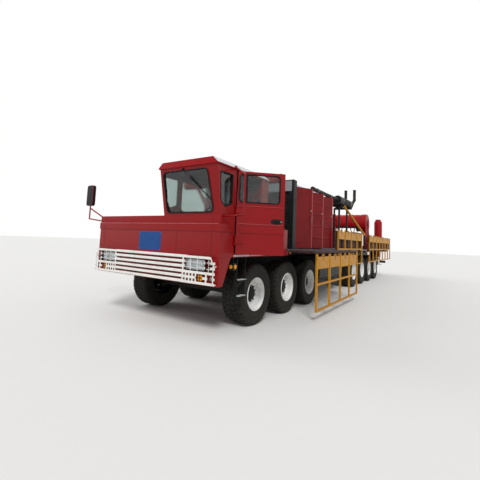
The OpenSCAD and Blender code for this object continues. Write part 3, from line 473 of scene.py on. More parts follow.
# Metal-coated reflector behind the lenses: a soft mirror
REFLECTOR = Finish("bright_lamp_reflector", "lamp_glass", "#d5d8da", "#c0c3c5", 0.14, metallic=1.0,
                   mottle_mm=60, mottle=0.3, grain_mm=30, depth_mm=0.05)
# Moulded red-brown lens of the round lamps: dark, with fine flutes
RED_LENS = Finish("red_lamp_lens", "lamp_glass", "#5a1a14", "#431410", 0.2, coat=0.3,
                  mottle_mm=60, mottle=0.4, grain=Grain.FINS, grain_mm=10, depth_mm=0.5)
# Moulded lining of the cab: grey-green, matt, and kept dark as painted shade for the shade inside the cab
LINING_AND_SHADE = Finish("dark_cab_lining_painted_shade", "cab_trim", "#2f3431", "#252927", 0.8, specular=0.08,
                mottle_mm=200, mottle=0.4, grain=Grain.CAST, grain_mm=6, depth_mm=0.15)
# Sheet rubber of the mud flaps: flat black with hardly any sheen
FLAP = Finish("sheet_rubber_mud_flap", "tyre", "#121211", "#1e1d1b", 0.8, specular=0.1,
              mottle_mm=90, mottle=0.6, grain=Grain.CAST, grain_mm=6, depth_mm=0.2)
# Blue enamel of the bare plate on the front: even, half gloss
BLUE = Finish("blue_plate_enamel", "body_red", "#16427e", "#13386a", 0.38, coat=0.08,
              mottle_mm=140, mottle=0.5, grain_mm=10, depth_mm=0.06)
# Silvered glass of the mirror: a clear reflection
MIRROR = Finish("silvered_mirror_glass", "mirror_black", "#c8ccd0", "#b8bcc0", 0.05, metallic=1.0,
                mottle_mm=300, mottle=0.2, grain_mm=200, depth_mm=0.01)


# Shapes


class Axis(Enum):
    """The three axes, with the other two in the order in which an outline gives them."""

    X = (0, 1, 2)
    Y = (1, 0, 2)
    Z = (2, 0, 1)

    def point(self, u: float, v: float, w: float) -> Vector:
        """Places a point of an outline.

        Args:
            u: Its first distance in the outline's plane.
            v: Its second distance there.
            w: Its distance along the axis.

        Returns:
            The point.
        """
        out = Vector((0.0, 0.0, 0.0))
        out[self.value[1]], out[self.value[2]], out[self.value[0]] = u, v, w
        return out


def round_points(centre: Flat, radius: float, count: int, start: float = 0.0) -> list[Flat]:
    """Spaces points evenly round a circle.

    Args:
        centre: The circle's middle.
        radius: Its radius.
        count: How many points there are.
        start: How far round the first one stands, in steps from one point to the next.

    Returns:
        The points, anticlockwise.
    """
    angles = [2 * math.pi * (k + start) / count for k in range(count)]
    return [(centre[0] + radius * math.cos(a), centre[1] + radius * math.sin(a)) for a in angles]


class Shape:
    """Points and faces that grow into one mesh."""

    def __init__(self, place: Matrix | None = None) -> None:
        """Starts empty, with the first finish.

        Args:
            place: The frame that points are given in, if it isn't the vehicle's.
        """
        self.points: list[Vector] = []
        self.faces: list[tuple[int, ...]] = []
        self.paints: list[int] = []
        self.paint = 0
        self.place = place or Matrix.Identity(4)

    def add(self, points: Iterable[Vector], faces: Iterable[Sequence[int]]) -> None:
        """Adds points and the faces that join them.

        Args:
            points: The points, in the shape's current place.
            faces: For each face, the numbers of its points within this call.
        """
        start = len(self.points)
        self.points.extend(self.place @ Vector(p) for p in points)
        for face in faces:
            self.faces.append(tuple(start + i for i in face))
            self.paints.append(self.paint)

    def block(self, low: Point, high: Point) -> None:
        """Adds a box between its lowest and highest corners."""
        points = [Vector((x, y, z)) for x in (low[0], high[0])
                  for y in (low[1], high[1]) for z in (low[2], high[2])]
        self.add(points, [(0, 1, 3, 2), (4, 6, 7, 5), (0, 4, 5, 1), (2, 3, 7, 6), (0, 2, 6, 4), (1, 5, 7, 3)])

    def border(self, low: Point, high: Point, width: float) -> None:
        """Adds an upright frame of four bars that faces along X.

        Args:
            low: Its lowest corner.
            high: Its highest corner.
            width: How wide each bar is.
        """
        (x0, y0, z0), (x1, y1, z1) = low, high
        for a, b, c, d in ((y0, y1, z1 - width, z1), (y0, y1, z0, z0 + width),
                           (y0, y0 + width, z0 + width, z1 - width),
                           (y1 - width, y1, z0 + width, z1 - width)):
            self.block((x0, a, c), (x1, b, d))

    def prism(self, outline: Sequence[Flat], axis: Axis, low: float, high: float) -> None:
        """Adds an outline drawn along an axis.

        Args:
            outline: The outline's points, in the order of the axis's other two.
            axis: The axis.
            low: Where the prism starts along it.
            high: Where it ends.
        """
        n = len(outline)
        points = [axis.point(u, v, w) for w in (low, high) for u, v in outline]
        sides = [(i, (i + 1) % n, n + (i + 1) % n, n + i) for i in range(n)]
        self.add(points, [tuple(range(n)), tuple(range(2 * n - 1, n - 1, -1)), *sides])

    def ring(self, outer: Sequence[Vector], inner: Sequence[Vector], depth: Vector) -> None:
        """Adds a frame between two loops.

        Args:
            outer: The outer loop's points.
            inner: As many points of the inner loop.
            depth: The way from the frame's face to its back.
        """
        n = len(outer)
        points = [*outer, *inner, *(p + depth for p in outer), *(p + depth for p in inner)]
        faces = []
        for i in range(n):
            j = (i + 1) % n
            faces += [(i, j, n + j, n + i), (2 * n + i, 3 * n + i, 3 * n + j, 2 * n + j),
                      (i, 2 * n + i, 2 * n + j, j), (n + i, n + j, 3 * n + j, 3 * n + i)]
        self.add(points, faces)

    def revolve(self, profile: Sequence[Flat], centre: Point, axis: Axis, steps: int = 32,
                closed: bool = False) -> None:
        """Adds a turned form.

        Args:
            profile: Radius and distance along the axis of each point.
            centre: The point that distances are measured from.
            axis: The axis that it turns about.
            steps: How many flats it has round the axis.
            closed: Whether the profile's end joins its start, as on a ring. If not, the ends get caps.
        """
        n = len(profile)
        points = []
        for u, v in round_points((0.0, 0.0), 1.0, steps):
            points += [Vector(centre) + axis.point(r * u, r * v, w) for r, w in profile]
        faces: list[tuple[int, ...]] = []
        for k in range(steps):
            a, b = k * n, (k + 1) % steps * n
            faces += [(a + i, a + (i + 1) % n, b + (i + 1) % n, b + i) for i in range(n if closed else n - 1)]
        if not closed:
            faces += [tuple(k * n for k in range(steps)),
                      tuple(k * n + n - 1 for k in range(steps - 1, -1, -1))]
        self.add(points, faces)

    def tube(self, route: Sequence[Point], radius: float, sides: int = 10) -> None:
        """Adds a round tube along a route, its knees mitred.

        Args:
            route: The points that its middle line joins.
            radius: Its radius.
            sides: How many flats it has round it.
        """
        line = [Vector(p) for p in route]
        count = len(line)
        start = (line[1] - line[0]).normalized()
        across = start.orthogonal().normalized()
        points = []
        for i, here in enumerate(line):
            before = (here - line[i - 1]).normalized() if i else (line[1] - here).normalized()
            after = (line[i + 1] - here).normalized() if i < count - 1 else before
            along = (before + after).normalized()
            across = (across - along * across.dot(along)).normalized()
            beside = along.cross(across)
            stretch = 1 / max(along.dot(before), 0.5)
            bend = after - before
            for u, v in round_points((0.0, 0.0), radius, sides):
                offset = across * u + beside * v
                if bend.length > 1e-6:
                    way = bend.normalized()
                    offset += way * offset.dot(way) * (stretch - 1)
                points.append(here + offset)
        faces: list[tuple[int, ...]] = []
        for i in range(count - 1):
            a, b = i * sides, (i + 1) * sides
            faces += [(a + k, a + (k + 1) % sides, b + (k + 1) % sides, b + k) for k in range(sides)]
        faces += [tuple(range(sides - 1, -1, -1)), tuple((count - 1) * sides + k for k in range(sides))]
        self.add(points, faces)

    def bolts(self, heads: Iterable[Point], axis: Axis, radius: float, height: float) -> None:
        """Adds hexagonal bolt heads.

        Args:
            heads: The middle of each head's foot.
            axis: The axis that they stand along.
            radius: From a head's middle to its corners.
            height: How far they stand up the axis, or down it if negative.
        """
        for head in heads:
            w, u, v = (head[i] for i in axis.value)
            self.prism(round_points((u, v), radius, 6), axis, w, w + height)

    def mirror(self) -> None:
        """Adds the mirror image of everything so far on the vehicle's other side."""
        start = len(self.points)
        self.points.extend(Vector((-p.x, p.y, p.z)) for p in list(self.points))
        self.faces.extend([tuple(start + i for i in reversed(f)) for f in list(self.faces)])
        self.paints.extend(list(self.paints))

    def mesh(self, name: str, finishes: Sequence[Finish], smooth: float) -> bpy.types.Mesh:
        """Turns the shape into a mesh with its finishes.

        Args:
            name: The mesh's name.
            finishes: The finishes, in the order of the shape's paint numbers.
            smooth: The angle in degrees above which an edge shows as sharp.

        Returns:
            The mesh.
        """
        mesh = bpy.data.meshes.new(name)
        mesh.from_pydata([tuple(p) for p in self.points], [], self.faces)
        mesh.polygons.foreach_set("material_index", self.paints)
        for finish in finishes:
            mesh.materials.append(finish.material())
        work = bmesh.new()
        work.from_mesh(mesh)
        bmesh.ops.recalc_face_normals(work, faces=work.faces)
        work.to_mesh(mesh)
        work.free()
        mesh.shade_smooth()
        mesh.set_sharp_from_angle(angle=math.radians(smooth))
        return mesh


def add_piece(name: str, shape: Shape | bpy.types.Mesh, finishes: Sequence[Finish], body: str = ROOT,
              bevel: float = 0.0, smooth: float = 32.0, stands_for: Sequence[str] = (),
              place: Matrix | None = None) -> bpy.types.Object:
    """Makes a piece of the vehicle that rides on one of its bodies.

    Args:
        name: The piece's name.
        shape: Its shape, or a mesh that several pieces share.
        finishes: Its finishes. The first gives the piece its slot.
        body: The body that it rides on.
        bevel: The width of its rounded edges.
        smooth: The angle in degrees above which an edge shows as sharp.
        stands_for: The nodes that it takes the place of.
        place: Where the piece is put, if its shape isn't drawn in place.

    Returns:
        The new object.
    """
    mesh = shape.mesh(name, finishes, smooth) if isinstance(shape, Shape) else shape
    piece = bpy.data.objects.new(name, mesh)
    bpy.context.scene.collection.objects.link(piece)
    if place is not None:
        piece.matrix_world = place
    if bevel:
        round_edges(piece, bevel)
    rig.ride(piece, body)
    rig.slot(piece, finishes[0].slot)
    if stands_for:
        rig.replaces(piece, *stands_for)
    log.info("%s: %d faces on %s", name, len(mesh.polygons), body)
    return piece


def round_edges(piece: bpy.types.Object, width: float) -> None:
    """Rounds a piece's sharp edges so that they catch the light.

    Args:
        piece: The object.
        width: The width of the rounding.
    """
    bevel = piece.modifiers.new("rounded_edges", "BEVEL")
    bevel.width = width
    bevel.segments = 2
    bevel.limit_method = "ANGLE"
    bevel.angle_limit = math.radians(35)
    bevel.harden_normals = False
    normals = piece.modifiers.new("even_shading", "WEIGHTED_NORMAL")
    normals.keep_sharp = True


def dress(node: str, finish: Finish, bevel: float = 0.0, smooth: float = 32.0) -> None:
    """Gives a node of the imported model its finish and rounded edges.

    Args:
        node: The node's name.
        finish: Its finish.
        bevel: The width of its rounded edges.
        smooth: The angle in degrees above which an edge shows as sharp.
    """
    piece = bpy.data.objects[node]
    mesh = piece.data
    mesh.materials.clear()
    mesh.materials.append(finish.material())
    if "custom_normal" in mesh.attributes:
        mesh.attributes.remove(mesh.attributes["custom_normal"])
    mesh.shade_smooth()
    weld = piece.modifiers.new("joined_corners", "WELD")
    weld.merge_threshold = 0.00005
    flat = piece.modifiers.new("whole_faces", "DECIMATE")
    flat.decimate_type = "DISSOLVE"
    flat.angle_limit = math.radians(0.6)
    if bevel:
        round_edges(piece, bevel)
    split = piece.modifiers.new("sharp_corners", "EDGE_SPLIT")
    split.split_angle = math.radians(smooth)
    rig.slot(piece, finish.slot)
    log.info("%s dressed in %s", node, finish.name)


def box(node: str) -> tuple[Vector, Vector]:
    """The lowest and highest corners of a node at rest."""
    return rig.box(node)


def middle(node: str) -> Vector:
    """The middle of a node's box at rest."""
    low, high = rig.box(node)
    return (low + high) / 2


# Windows


@dataclass
class Pane:
    """One pane of glass: its outline on the face that looks out, and the way it faces."""

    outline: list[Vector]
    normal: Vector

    def loop(self, outwards: float, depth: float) -> list[Vector]:
        """The outline grown by a distance in its plane and moved along its normal.

        Args:
            outwards: How far each side moves away from the pane's middle, or towards it if negative.
            depth: How far the loop lies ahead of the pane's outer face.

        Returns:
            As many points as the outline has.
        """
        n = len(self.outline)
        out = []
        for i, here in enumerate(self.outline):
            before = (here - self.outline[i - 1]).normalized()
            after = (self.outline[(i + 1) % n] - here).normalized()
            side_a = before.cross(self.normal)
            side_b = after.cross(self.normal)
            way = (side_a + side_b).normalized()
            out.append(here + way * outwards / max(way.dot(side_a), 0.35) + self.normal * depth)
        return out


def panes(node: str, inside: Vector) -> list[Pane]:
    """Finds the panes of glass in a node.

    Args:
        node: The node's name.
        inside: A point inside the cab, which the panes face away from.

    Returns:
        One pane for each separate solid, its outline anticlockwise seen from outside.
    """
    work = bmesh.new()
    work.from_mesh(bpy.data.objects[node].data)
    bmesh.ops.remove_doubles(work, verts=work.verts, dist=0.00005)
    bmesh.ops.dissolve_limit(work, angle_limit=math.radians(1.0), verts=work.verts, edges=work.edges)
    faces = sorted(work.faces, key=lambda f: -f.calc_area())
    found: list[Pane] = []
    for face in faces:
        if face.calc_area() < 0.02 or face.normal.dot(face.calc_center_median() - inside) < 0:
            continue
        if any((p.outline[0] - face.verts[0].co).length < 0.02 for p in found):
            continue
        found.append(Pane([v.co.copy() for v in face.verts], face.normal.copy()))
    work.free()
    return found


def rounded(pane: Pane, radius: float, steps: int = 5) -> Pane:
    """The pane with each sharp corner of its outline cut to an arc.

    Args:
        pane: The pane.
        radius: The arcs' radius.
        steps: How many edges an arc has.

    Returns:
        A new pane, or the same one where the outline is round already.
    """
    n = len(pane.outline)
    if n > 10:
        return pane
    points: list[Vector] = []
    for i, here in enumerate(pane.outline):
        back = (pane.outline[i - 1] - here).normalized()
        on = (pane.outline[(i + 1) % n] - here).normalized()
        half = back.angle(on) / 2
        reach = min(radius / math.tan(half), 0.45 * (pane.outline[i - 1] - here).length)
        r = reach * math.tan(half)
        centre = here + (back + on).normalized() * (r / math.sin(half))
        first, last = here + back * reach - centre, here + on * reach - centre
        for k in range(steps + 1):
            turned = first.slerp(last, k / steps).normalized()
            points.append(centre + turned * r)
    return Pane(points, pane.normal)


# Assemblies


@dataclass
class Wheels:
    """Fourteen block-tread tyres on deep white rims, each on its own turning body."""

    pitches: int = 38
    columns: int = 8
    groove: float = 0.014
    zigzag: float = 0.009
    slant: float = 12.0
    rim_steps: int = 48
    nuts: int = 10
    nut_circle: float = 0.140
    disc_face: float = 0.049

    def build(self) -> None:
        """Makes the wheels, the right ones turned about so that their dish faces out."""
        tyre = self.tyre().mesh("tyre", [RUBBER], 34)
        rim = self.rim().mesh("rim", [RIM_WHITE, BLACK], 34)
        for side, sign in SIDES:
            for i in range(1, AXLES + 1):
                wheel = f"wheel_{side}_{i}"
                place = Matrix.Translation(middle(wheel))
                if sign < 0:
                    place = place @ Matrix.Rotation(math.pi, 4, "Z")
                add_piece(f"tyre_{side}_{i}", tyre, [RUBBER], wheel, stands_for=[wheel], place=place)
                add_piece(f"rim_{side}_{i}", rim, [RIM_WHITE], wheel, place=place)

    def tyre(self) -> Shape:
        """Draws a tyre about its own centre, its outer face towards +X.

        Returns:
            The tyre, its tread cut into slanted blocks by zigzag grooves.
        """
        # Distance from the middle, radius, share of the groove's depth and share of the zigzag
        tread = [(0.008, 0.5600, 1.0, 1.0), (0.084, 0.5597, 1.0, 1.0), (0.100, 0.5592, 1.0, 1.0),
                 (0.166, 0.5565, 1.0, 0.0), (0.189, 0.5445, 1.0, 0.0), (0.2035, 0.5190, 0.5, 0.0)]
        # Distance from the middle and radius, down the side wall to the bead
        wall = [(0.2075, 0.4980), (0.2092, 0.4800), (0.2072, 0.4720), (0.2092, 0.4590), (0.2095, 0.4200),
                (0.2050, 0.3720), (0.1990, 0.3430), (0.1995, 0.3330), (0.1950, 0.3180), (0.1885, 0.3030)]
        half = tread + [(w, r, 0.0, 0.0) for w, r in wall]
        kinds = ["inner", "groove", "outer", "outer", "outer", "outer"] + ["wall"] * (len(wall) - 1)
        lines = half[::-1] + [(-w, r, depth, zig) for w, r, depth, zig in half]
        rows = kinds[::-1] + ["groove"] + kinds
        cut = {"groove": range(self.columns), "outer": (0, 1), "inner": (4, 5), "wall": ()}
        count = self.pitches * self.columns
        step = 2 * math.pi / count
        shape = Shape()
        known: dict[tuple[int, int, bool], int] = {}

        def point(line: int, column: int, low: bool) -> int:
            """Finds a point's number, and makes the point on the first call.

            Args:
                line: The line round the tyre that it lies on.
                column: The column across the tread.
                low: Whether it lies in a groove, and not on a block.

            Returns:
                Its number in the shape.
            """
            column %= count
            key = (line, column, low)
            if key not in known:
                w, r, depth, zig = lines[line]
                angle = (column + self.slant * abs(w)) * step
                wave = 1 - abs(column % self.columns - self.columns / 2) / (self.columns / 4)
                radius = r - (self.groove * depth if low else 0)
                at = w + self.zigzag * zig * wave
                known[key] = len(shape.points)
                shape.points.append(Vector((at, radius * math.cos(angle), radius * math.sin(angle))))
            return known[key]

        def is_low(row: int, column: int) -> bool:
            """Whether the cell lies in a groove."""
            return column % self.columns in cut[rows[row]]

        def block_side(first: tuple[int, int], second: tuple[int, int]) -> None:
            """Adds a block's side below the edge between two points, each a line and a column."""
            shape.faces.append((point(*first, False), point(*second, False),
                                point(*second, True), point(*first, True)))

        for row in range(len(rows)):
            for k in range(count):
                low = is_low(row, k)
                shape.faces.append((point(row, k, low), point(row + 1, k, low),
                                    point(row + 1, k + 1, low), point(row, k + 1, low)))
                if low != is_low(row, k + 1):
                    block_side((row, k + 1), (row + 1, k + 1))
                if row + 1 < len(rows) and low != is_low(row + 1, k):
                    block_side((row + 1, k), (row + 1, k + 1))
        last = len(lines) - 1
        shape.faces += [(point(last, k, False), point(0, k, False), point(0, k + 1, False),
                         point(last, k + 1, False)) for k in range(count)]
        shape.paints = [0] * len(shape.faces)
        return shape

    def rim(self) -> Shape:
        """Draws a rim with its hub and nuts about the wheel's centre, its dish towards +X.

        Returns:
            The rim: white dish and lock ring, and black barrel, brake drum, hub, cap and nuts.
        """
        shape = Shape()
        centre = (0.0, 0.0, 0.0)
        # Each profile gives radius and distance towards the dish's open side
        dish = [(0.112, 0.049), (0.205, 0.050), (0.212, 0.058), (0.226, 0.058), (0.232, 0.066),
                (0.234, 0.096), (0.244, 0.102), (0.246, 0.128), (0.256, 0.134), (0.258, 0.156),
                (0.264, 0.163), (0.281, 0.180), (0.287, 0.193), (0.301, 0.194), (0.303, 0.186),
                (0.292, 0.180), (0.272, 0.150), (0.268, 0.030), (0.245, 0.021), (0.112, 0.021)]
        lock_ring = [(0.2885, 0.193), (0.2905, 0.1985), (0.2990, 0.1985), (0.3010, 0.193)]
        barrel = [(0.258, 0.024), (0.258, -0.150), (0.281, -0.182), (0.287, -0.194), (0.301, -0.194),
                  (0.303, -0.186), (0.292, -0.178), (0.268, -0.145), (0.268, 0.024)]
        brake_drum = [(0.150, -0.010), (0.205, -0.010), (0.214, -0.020), (0.214, -0.172), (0.222, -0.176),
                      (0.222, -0.186), (0.204, -0.186), (0.204, -0.022), (0.150, -0.022)]
        hub = [(0.046, 0.1115), (0.060, 0.1115), (0.086, 0.110), (0.096, 0.106), (0.104, 0.096),
               (0.116, 0.092), (0.120, 0.084), (0.122, 0.050)]
        cap = [(0.045, 0.100), (0.045, 0.1085), (0.040, 0.1115)]
        stud = [(0.011, 0.026), (0.011, 0.046), (0.009, 0.048)]
        for profile in (dish, lock_ring):
            shape.revolve(profile, centre, Axis.X, self.rim_steps, closed=True)
        shape.paint = 1
        for profile in (barrel, brake_drum):
            shape.revolve(profile, centre, Axis.X, self.rim_steps, closed=True)
        shape.revolve(hub, centre, Axis.X, 36)
        shape.revolve(cap, centre, Axis.X, 24)
        for y, z in round_points((0.0, 0.0), self.nut_circle, self.nuts, 0.5):
            foot = (self.disc_face, y, z)
            shape.bolts([foot], Axis.X, 0.0165, 0.026)
            shape.revolve(stud, foot, Axis.X, 8)
        return shape


@dataclass
class FrontEnd:
    """Front panel, bumper, slats, lamp guards and lamps.

    Sizes that end in off are distances from the body's side.
    """

    front: float
    half_w: float
    rows: int = 6
    pitch: float = 0.077
    slat_height: float = 0.042
    bar_height: float = 0.038
    guard_off: float = 0.675
    slat_overlap: float = 0.05
    bar_depth: Flat = (0.002, 0.014)
    uprights: int = 9
    upright_depth: Flat = (0.004, 0.012)
    upright_half: float = 0.014
    wire_depth: Flat = (0.004, 0.010)
    wire_half: float = 0.003
    wire_off: Flat = (0.493, 0.355)
    wire_z: Flat = (0.19, 0.385)
    shoulder_z: float = 0.30
    arm: float = 0.02
    arm_z: Flat = (0.0, 0.27)
    case_off: Flat = (0.624, 0.224)
    case_z: Flat = (0.198, 0.380)
    case_wall: float = 0.012
    case_depth: float = 0.04
    bulb_off: float = 0.100
    round_off: float = 0.150
    round_z: Flat = (0.235, 0.330)
    amber_off: float = 0.310
    clear_off: float = 0.105
    low_lamp_z: float = 0.096
    plate_x: Flat = (-0.31, 0.26)
    plate_z: Flat = (1.30, 1.62)
    plate_bolt_x: Flat = (-0.290, 0.240)
    plate_bolt_z: Flat = (1.32, 1.60)
    ledge_z: float = 1.766
    seam_x: float = 1.36
    seam_half: float = 0.002
    bumper_bolt_x: Flat = (0.25, 0.75)
    bumper_bolt_z: float = 0.872

    def build(self) -> None:
        """Dresses the front body and adds what stands on it."""
        dress("nose_body", RED, 0.006)
        dress("bumper", RED, 0.006)
        low, high = box("bumper_guard")
        self.slats(low.y, low.z)
        self.guards(low.y, low.z, high.x - 0.016)
        self.lamps(low.z)
        self.plate()

    def slats(self, plane: float, bottom: float) -> None:
        """Makes the white slats in the place of the plain ones.

        Args:
            plane: Where the front of the guards lies along Y.
            bottom: How high the lowest slat starts.
        """
        shape = Shape()
        reach = self.half_w - self.guard_off + self.slat_overlap
        for row in range(self.rows):
            z = bottom + self.pitch * row
            shape.block((-reach, plane + self.upright_depth[0], z), (reach, self.front, z + self.slat_height))
        add_piece("front_slats", shape, [WHITE], bevel=0.006, stands_for=["bumper_guard"])

    def guards(self, plane: float, bottom: float, end: float) -> None:
        """Makes the lamp guards: flat bars and short uprights that leave the lamps open.

        Args:
            plane: Where their front lies along Y.
            bottom: How high the lowest bar starts.
            end: Where the uprights at the outer end stand along X.
        """
        # Windows in the guard: inner and outer distance from the body's side, and the open rows
        windows = ((0.632, 0.216, (3, 4)), (0.202, 0.098, (3, 4)), (0.378, 0.242, (1,)), (0.150, 0.060, (1,)))
        inner = self.half_w - self.guard_off
        top, shoulder = bottom + self.pitch * (self.rows - 1) + self.bar_height, bottom + self.shoulder_z
        bar_front, bar_back = (plane + depth for depth in self.bar_depth)
        upright_front, upright_back = (plane + depth for depth in self.upright_depth)
        wire_front, wire_back = (plane + depth for depth in self.wire_depth)
        guard, wires = Shape(), Shape()
        for row in range(self.rows):
            z = bottom + self.pitch * row
            last = end - 0.070 if row == self.rows - 1 else end + 0.016
            cuts = sorted((self.half_w - a, self.half_w - b) for a, b, rows in windows if row in rows)
            starts = [inner, *(b for _, b in cuts)]
            ends = [*(a for a, _ in cuts), last]
            for a, b in zip(starts, ends):
                guard.block((a, bar_front, z), (b, bar_back, z + self.bar_height))
            if row in windows[0][2]:
                (a, b), at = cuts[0], z + 0.018
                wires.block((a, wire_front, at - self.wire_half), (b, wire_back, at + self.wire_half))
        for i in range(self.uprights):
            x = inner + 0.022 + (end - inner - 0.10) * i / (self.uprights - 1)
            for row in range(self.rows - 1):
                if any(self.half_w - a < x < self.half_w - b and {row, row + 1} & set(rows)
                       for a, b, rows in windows):
                    continue
                z = bottom + self.pitch * row
                guard.block((x - self.upright_half, upright_front, z + self.bar_height),
                            (x + self.upright_half, upright_back, z + self.pitch))
        low, high = (bottom + z for z in self.wire_z)
        for x in (self.half_w - off for off in self.wire_off):
            wires.block((x - self.wire_half, wire_front, low), (x + self.wire_half, wire_back, high))
        guard.block((end - 0.022, bar_front, bottom), (end - 0.008, bar_back, shoulder))
        slope = [(end - 0.022, shoulder), (end - 0.008, shoulder), (end - 0.070, top), (end - 0.088, top)]
        guard.prism(slope, Axis.Y, bar_front, bar_back)
        for x in (inner, end - 0.025):
            for z in (bottom + at for at in self.arm_z):
                guard.block((x, upright_back, z), (x + self.arm, self.front, z + self.arm))
        guard.mirror()
        wires.mirror()
        add_piece("lamp_guards", guard, [WHITE], bevel=0.003)
        add_piece("lamp_guard_wires", wires, [WHITE])

    def lamps(self, bottom: float) -> None:
        """Makes the lamps: black housings, bright reflectors and lenses, and a black cross of painted shadow over each
        amber lamp.

        Args:
            bottom: How high the lowest slat starts.
        """
        y, wall, mouth = self.front, self.case_wall, self.front - self.case_depth
        x0, x1 = (self.half_w - off for off in self.case_off)
        z0, z1 = (bottom + z for z in self.case_z)
        # Each profile gives radius and distance from the front panel
        bowl = [(0.012, -0.012), (0.045, -0.016), (0.068, -0.030), (0.070, -0.030), (0.070, -0.008),
                (0.012, -0.008)]
        bulb = [(0.012, -0.012), (0.012, -0.024), (0.006, -0.028)]
        round_cup = [(0.042, 0.0), (0.042, -0.040), (0.036, -0.042), (0.035, -0.030)]
        round_lens = [(0.035, -0.031), (0.035, -0.038), (0.022, -0.0415), (0.006, -0.042)]
        amber_cup = [(0.060, 0.0), (0.060, -0.040), (0.053, -0.042), (0.052, -0.02)]
        amber_lens = [(0.052, -0.021), (0.052, -0.042), (0.030, -0.0475), (0.008, -0.048)]
        clear_cup = [(0.034, 0.0), (0.034, -0.034), (0.029, -0.036), (0.028, -0.02)]
        clear_lens = [(0.028, -0.021), (0.028, -0.036), (0.016, -0.041), (0.004, -0.042)]
        housing_and_shadow, bright, lens, amber, brown, cross = (Shape() for _ in range(6))
        for low, high in (((x0, mouth, z0), (x1, y, z0 + wall)), ((x0, mouth, z1 - wall), (x1, y, z1)),
                          ((x0, mouth, z0), (x0 + wall, y, z1)), ((x1 - wall, mouth, z0), (x1, y, z1)),
                          ((x0, y - 0.01, z0), (x1, y, z1))):
            housing_and_shadow.block(low, high)
        bright.block((x0 + wall, y - 0.0125, z0 + wall), (x1 - wall, y - 0.0105, z1 - wall))
        for x in (x0 + self.bulb_off, x1 - self.bulb_off):
            here = (x, y, (z0 + z1) / 2)
            bright.revolve(bowl, here, Axis.Y, 24, closed=True)
            bright.revolve(bulb, here, Axis.Y, 12)
        lens.block((x0 + 0.010, mouth - 0.0005, z0 + 0.010), (x1 - 0.010, mouth + 0.004, z1 - 0.010))
        x = self.half_w - self.round_off
        for z in (bottom + at for at in self.round_z):
            here = (x, y, z)
            housing_and_shadow.revolve(round_cup, here, Axis.Y, 24)
            brown.revolve(round_lens, here, Axis.Y, 24)
            for a, b in ((0.040, 0.005), (0.005, 0.040)):
                cross.block((x - a, y - 0.046, z - b), (x + a, y - 0.042, z + b))
        x, z = self.half_w - self.amber_off, bottom + self.low_lamp_z
        here = (x, y, z)
        housing_and_shadow.revolve(amber_cup, here, Axis.Y, 24)
        amber.revolve(amber_lens, here, Axis.Y, 24)
        # A thin black cross over the amber lens, drawn with the housings: painted shadow of the guard's crossing bars
        for a, b in ((0.062, 0.006), (0.006, 0.058)):
            housing_and_shadow.block((x - a, y - 0.052, z - b), (x + a, y - 0.047, z + b))
        here = (self.half_w - self.clear_off, y, z)
        housing_and_shadow.revolve(clear_cup, here, Axis.Y, 20)
        lens.revolve(clear_lens, here, Axis.Y, 20)
        bright.revolve([(0.027, -0.018), (0.002, -0.014)], here, Axis.Y, 20)
        for shape in (housing_and_shadow, bright, lens, amber, brown, cross):
            shape.mirror()
        add_piece("lamp_housings_and_painted_shadow", housing_and_shadow, [BLACK], bevel=0.002, stands_for=["headlamps"])
        add_piece("lamp_reflectors", bright, [REFLECTOR])
        add_piece("lamp_lenses", lens, [LENS], bevel=0.002)
        add_piece("amber_lamps", amber, [AMBER])
        add_piece("round_lamps", brown, [RED_LENS])
        add_piece("round_lamp_guards", cross, [WHITE])

    def plate(self) -> None:
        """Makes the bare blue plate, the panel's seams, the bead over the ledge in the lighter red of a painted
        highlight, and the bolts.
        """
        y, ledge, half = self.front, self.ledge_z, self.seam_half
        plate, seams, bead, bolts = (Shape() for _ in range(4))
        (x0, x1), (z0, z1) = self.plate_x, self.plate_z
        plate.block((x0, y - 0.003, z0), (x1, y + 0.002, z1))
        add_piece("front_plate", plate, [BLUE], bevel=0.0015)
        for x in (self.seam_x, -self.seam_x):
            seams.block((x - half, y - 0.0008, 1.255), (x + half, y + 0.002, 1.895))
            seams.block((x - half, y - 0.0128, 1.652), (x + half, y - 0.0100, ledge))
        seams.block((0.62, y - 0.0008, 1.28), (0.62 + 2 * half, y + 0.002, 1.63))
        add_piece("front_seams", seams, [GASKET])
        reach = self.half_w - 0.03
        # The bead is drawn in the lighter red of a painted highlight along the ledge's upper edge
        bead.tube([(-reach, y - 0.010, ledge), (reach, y - 0.010, ledge)], 0.006, 8)
        add_piece("front_ledge_highlight_bead", bead, [HIGHLIGHT_RED])
        plate_heads = [(x, y, z) for x in self.plate_bolt_x for z in self.plate_bolt_z]
        bolts.bolts(plate_heads, Axis.Y, 0.007, -0.006)
        bumper_heads = [(sign * x, y, self.bumper_bolt_z) for x in self.bumper_bolt_x for sign in (1, -1)]
        bolts.bolts(bumper_heads, Axis.Y, 0.010, -0.008)
        add_piece("front_bolts", bolts, [STEEL])


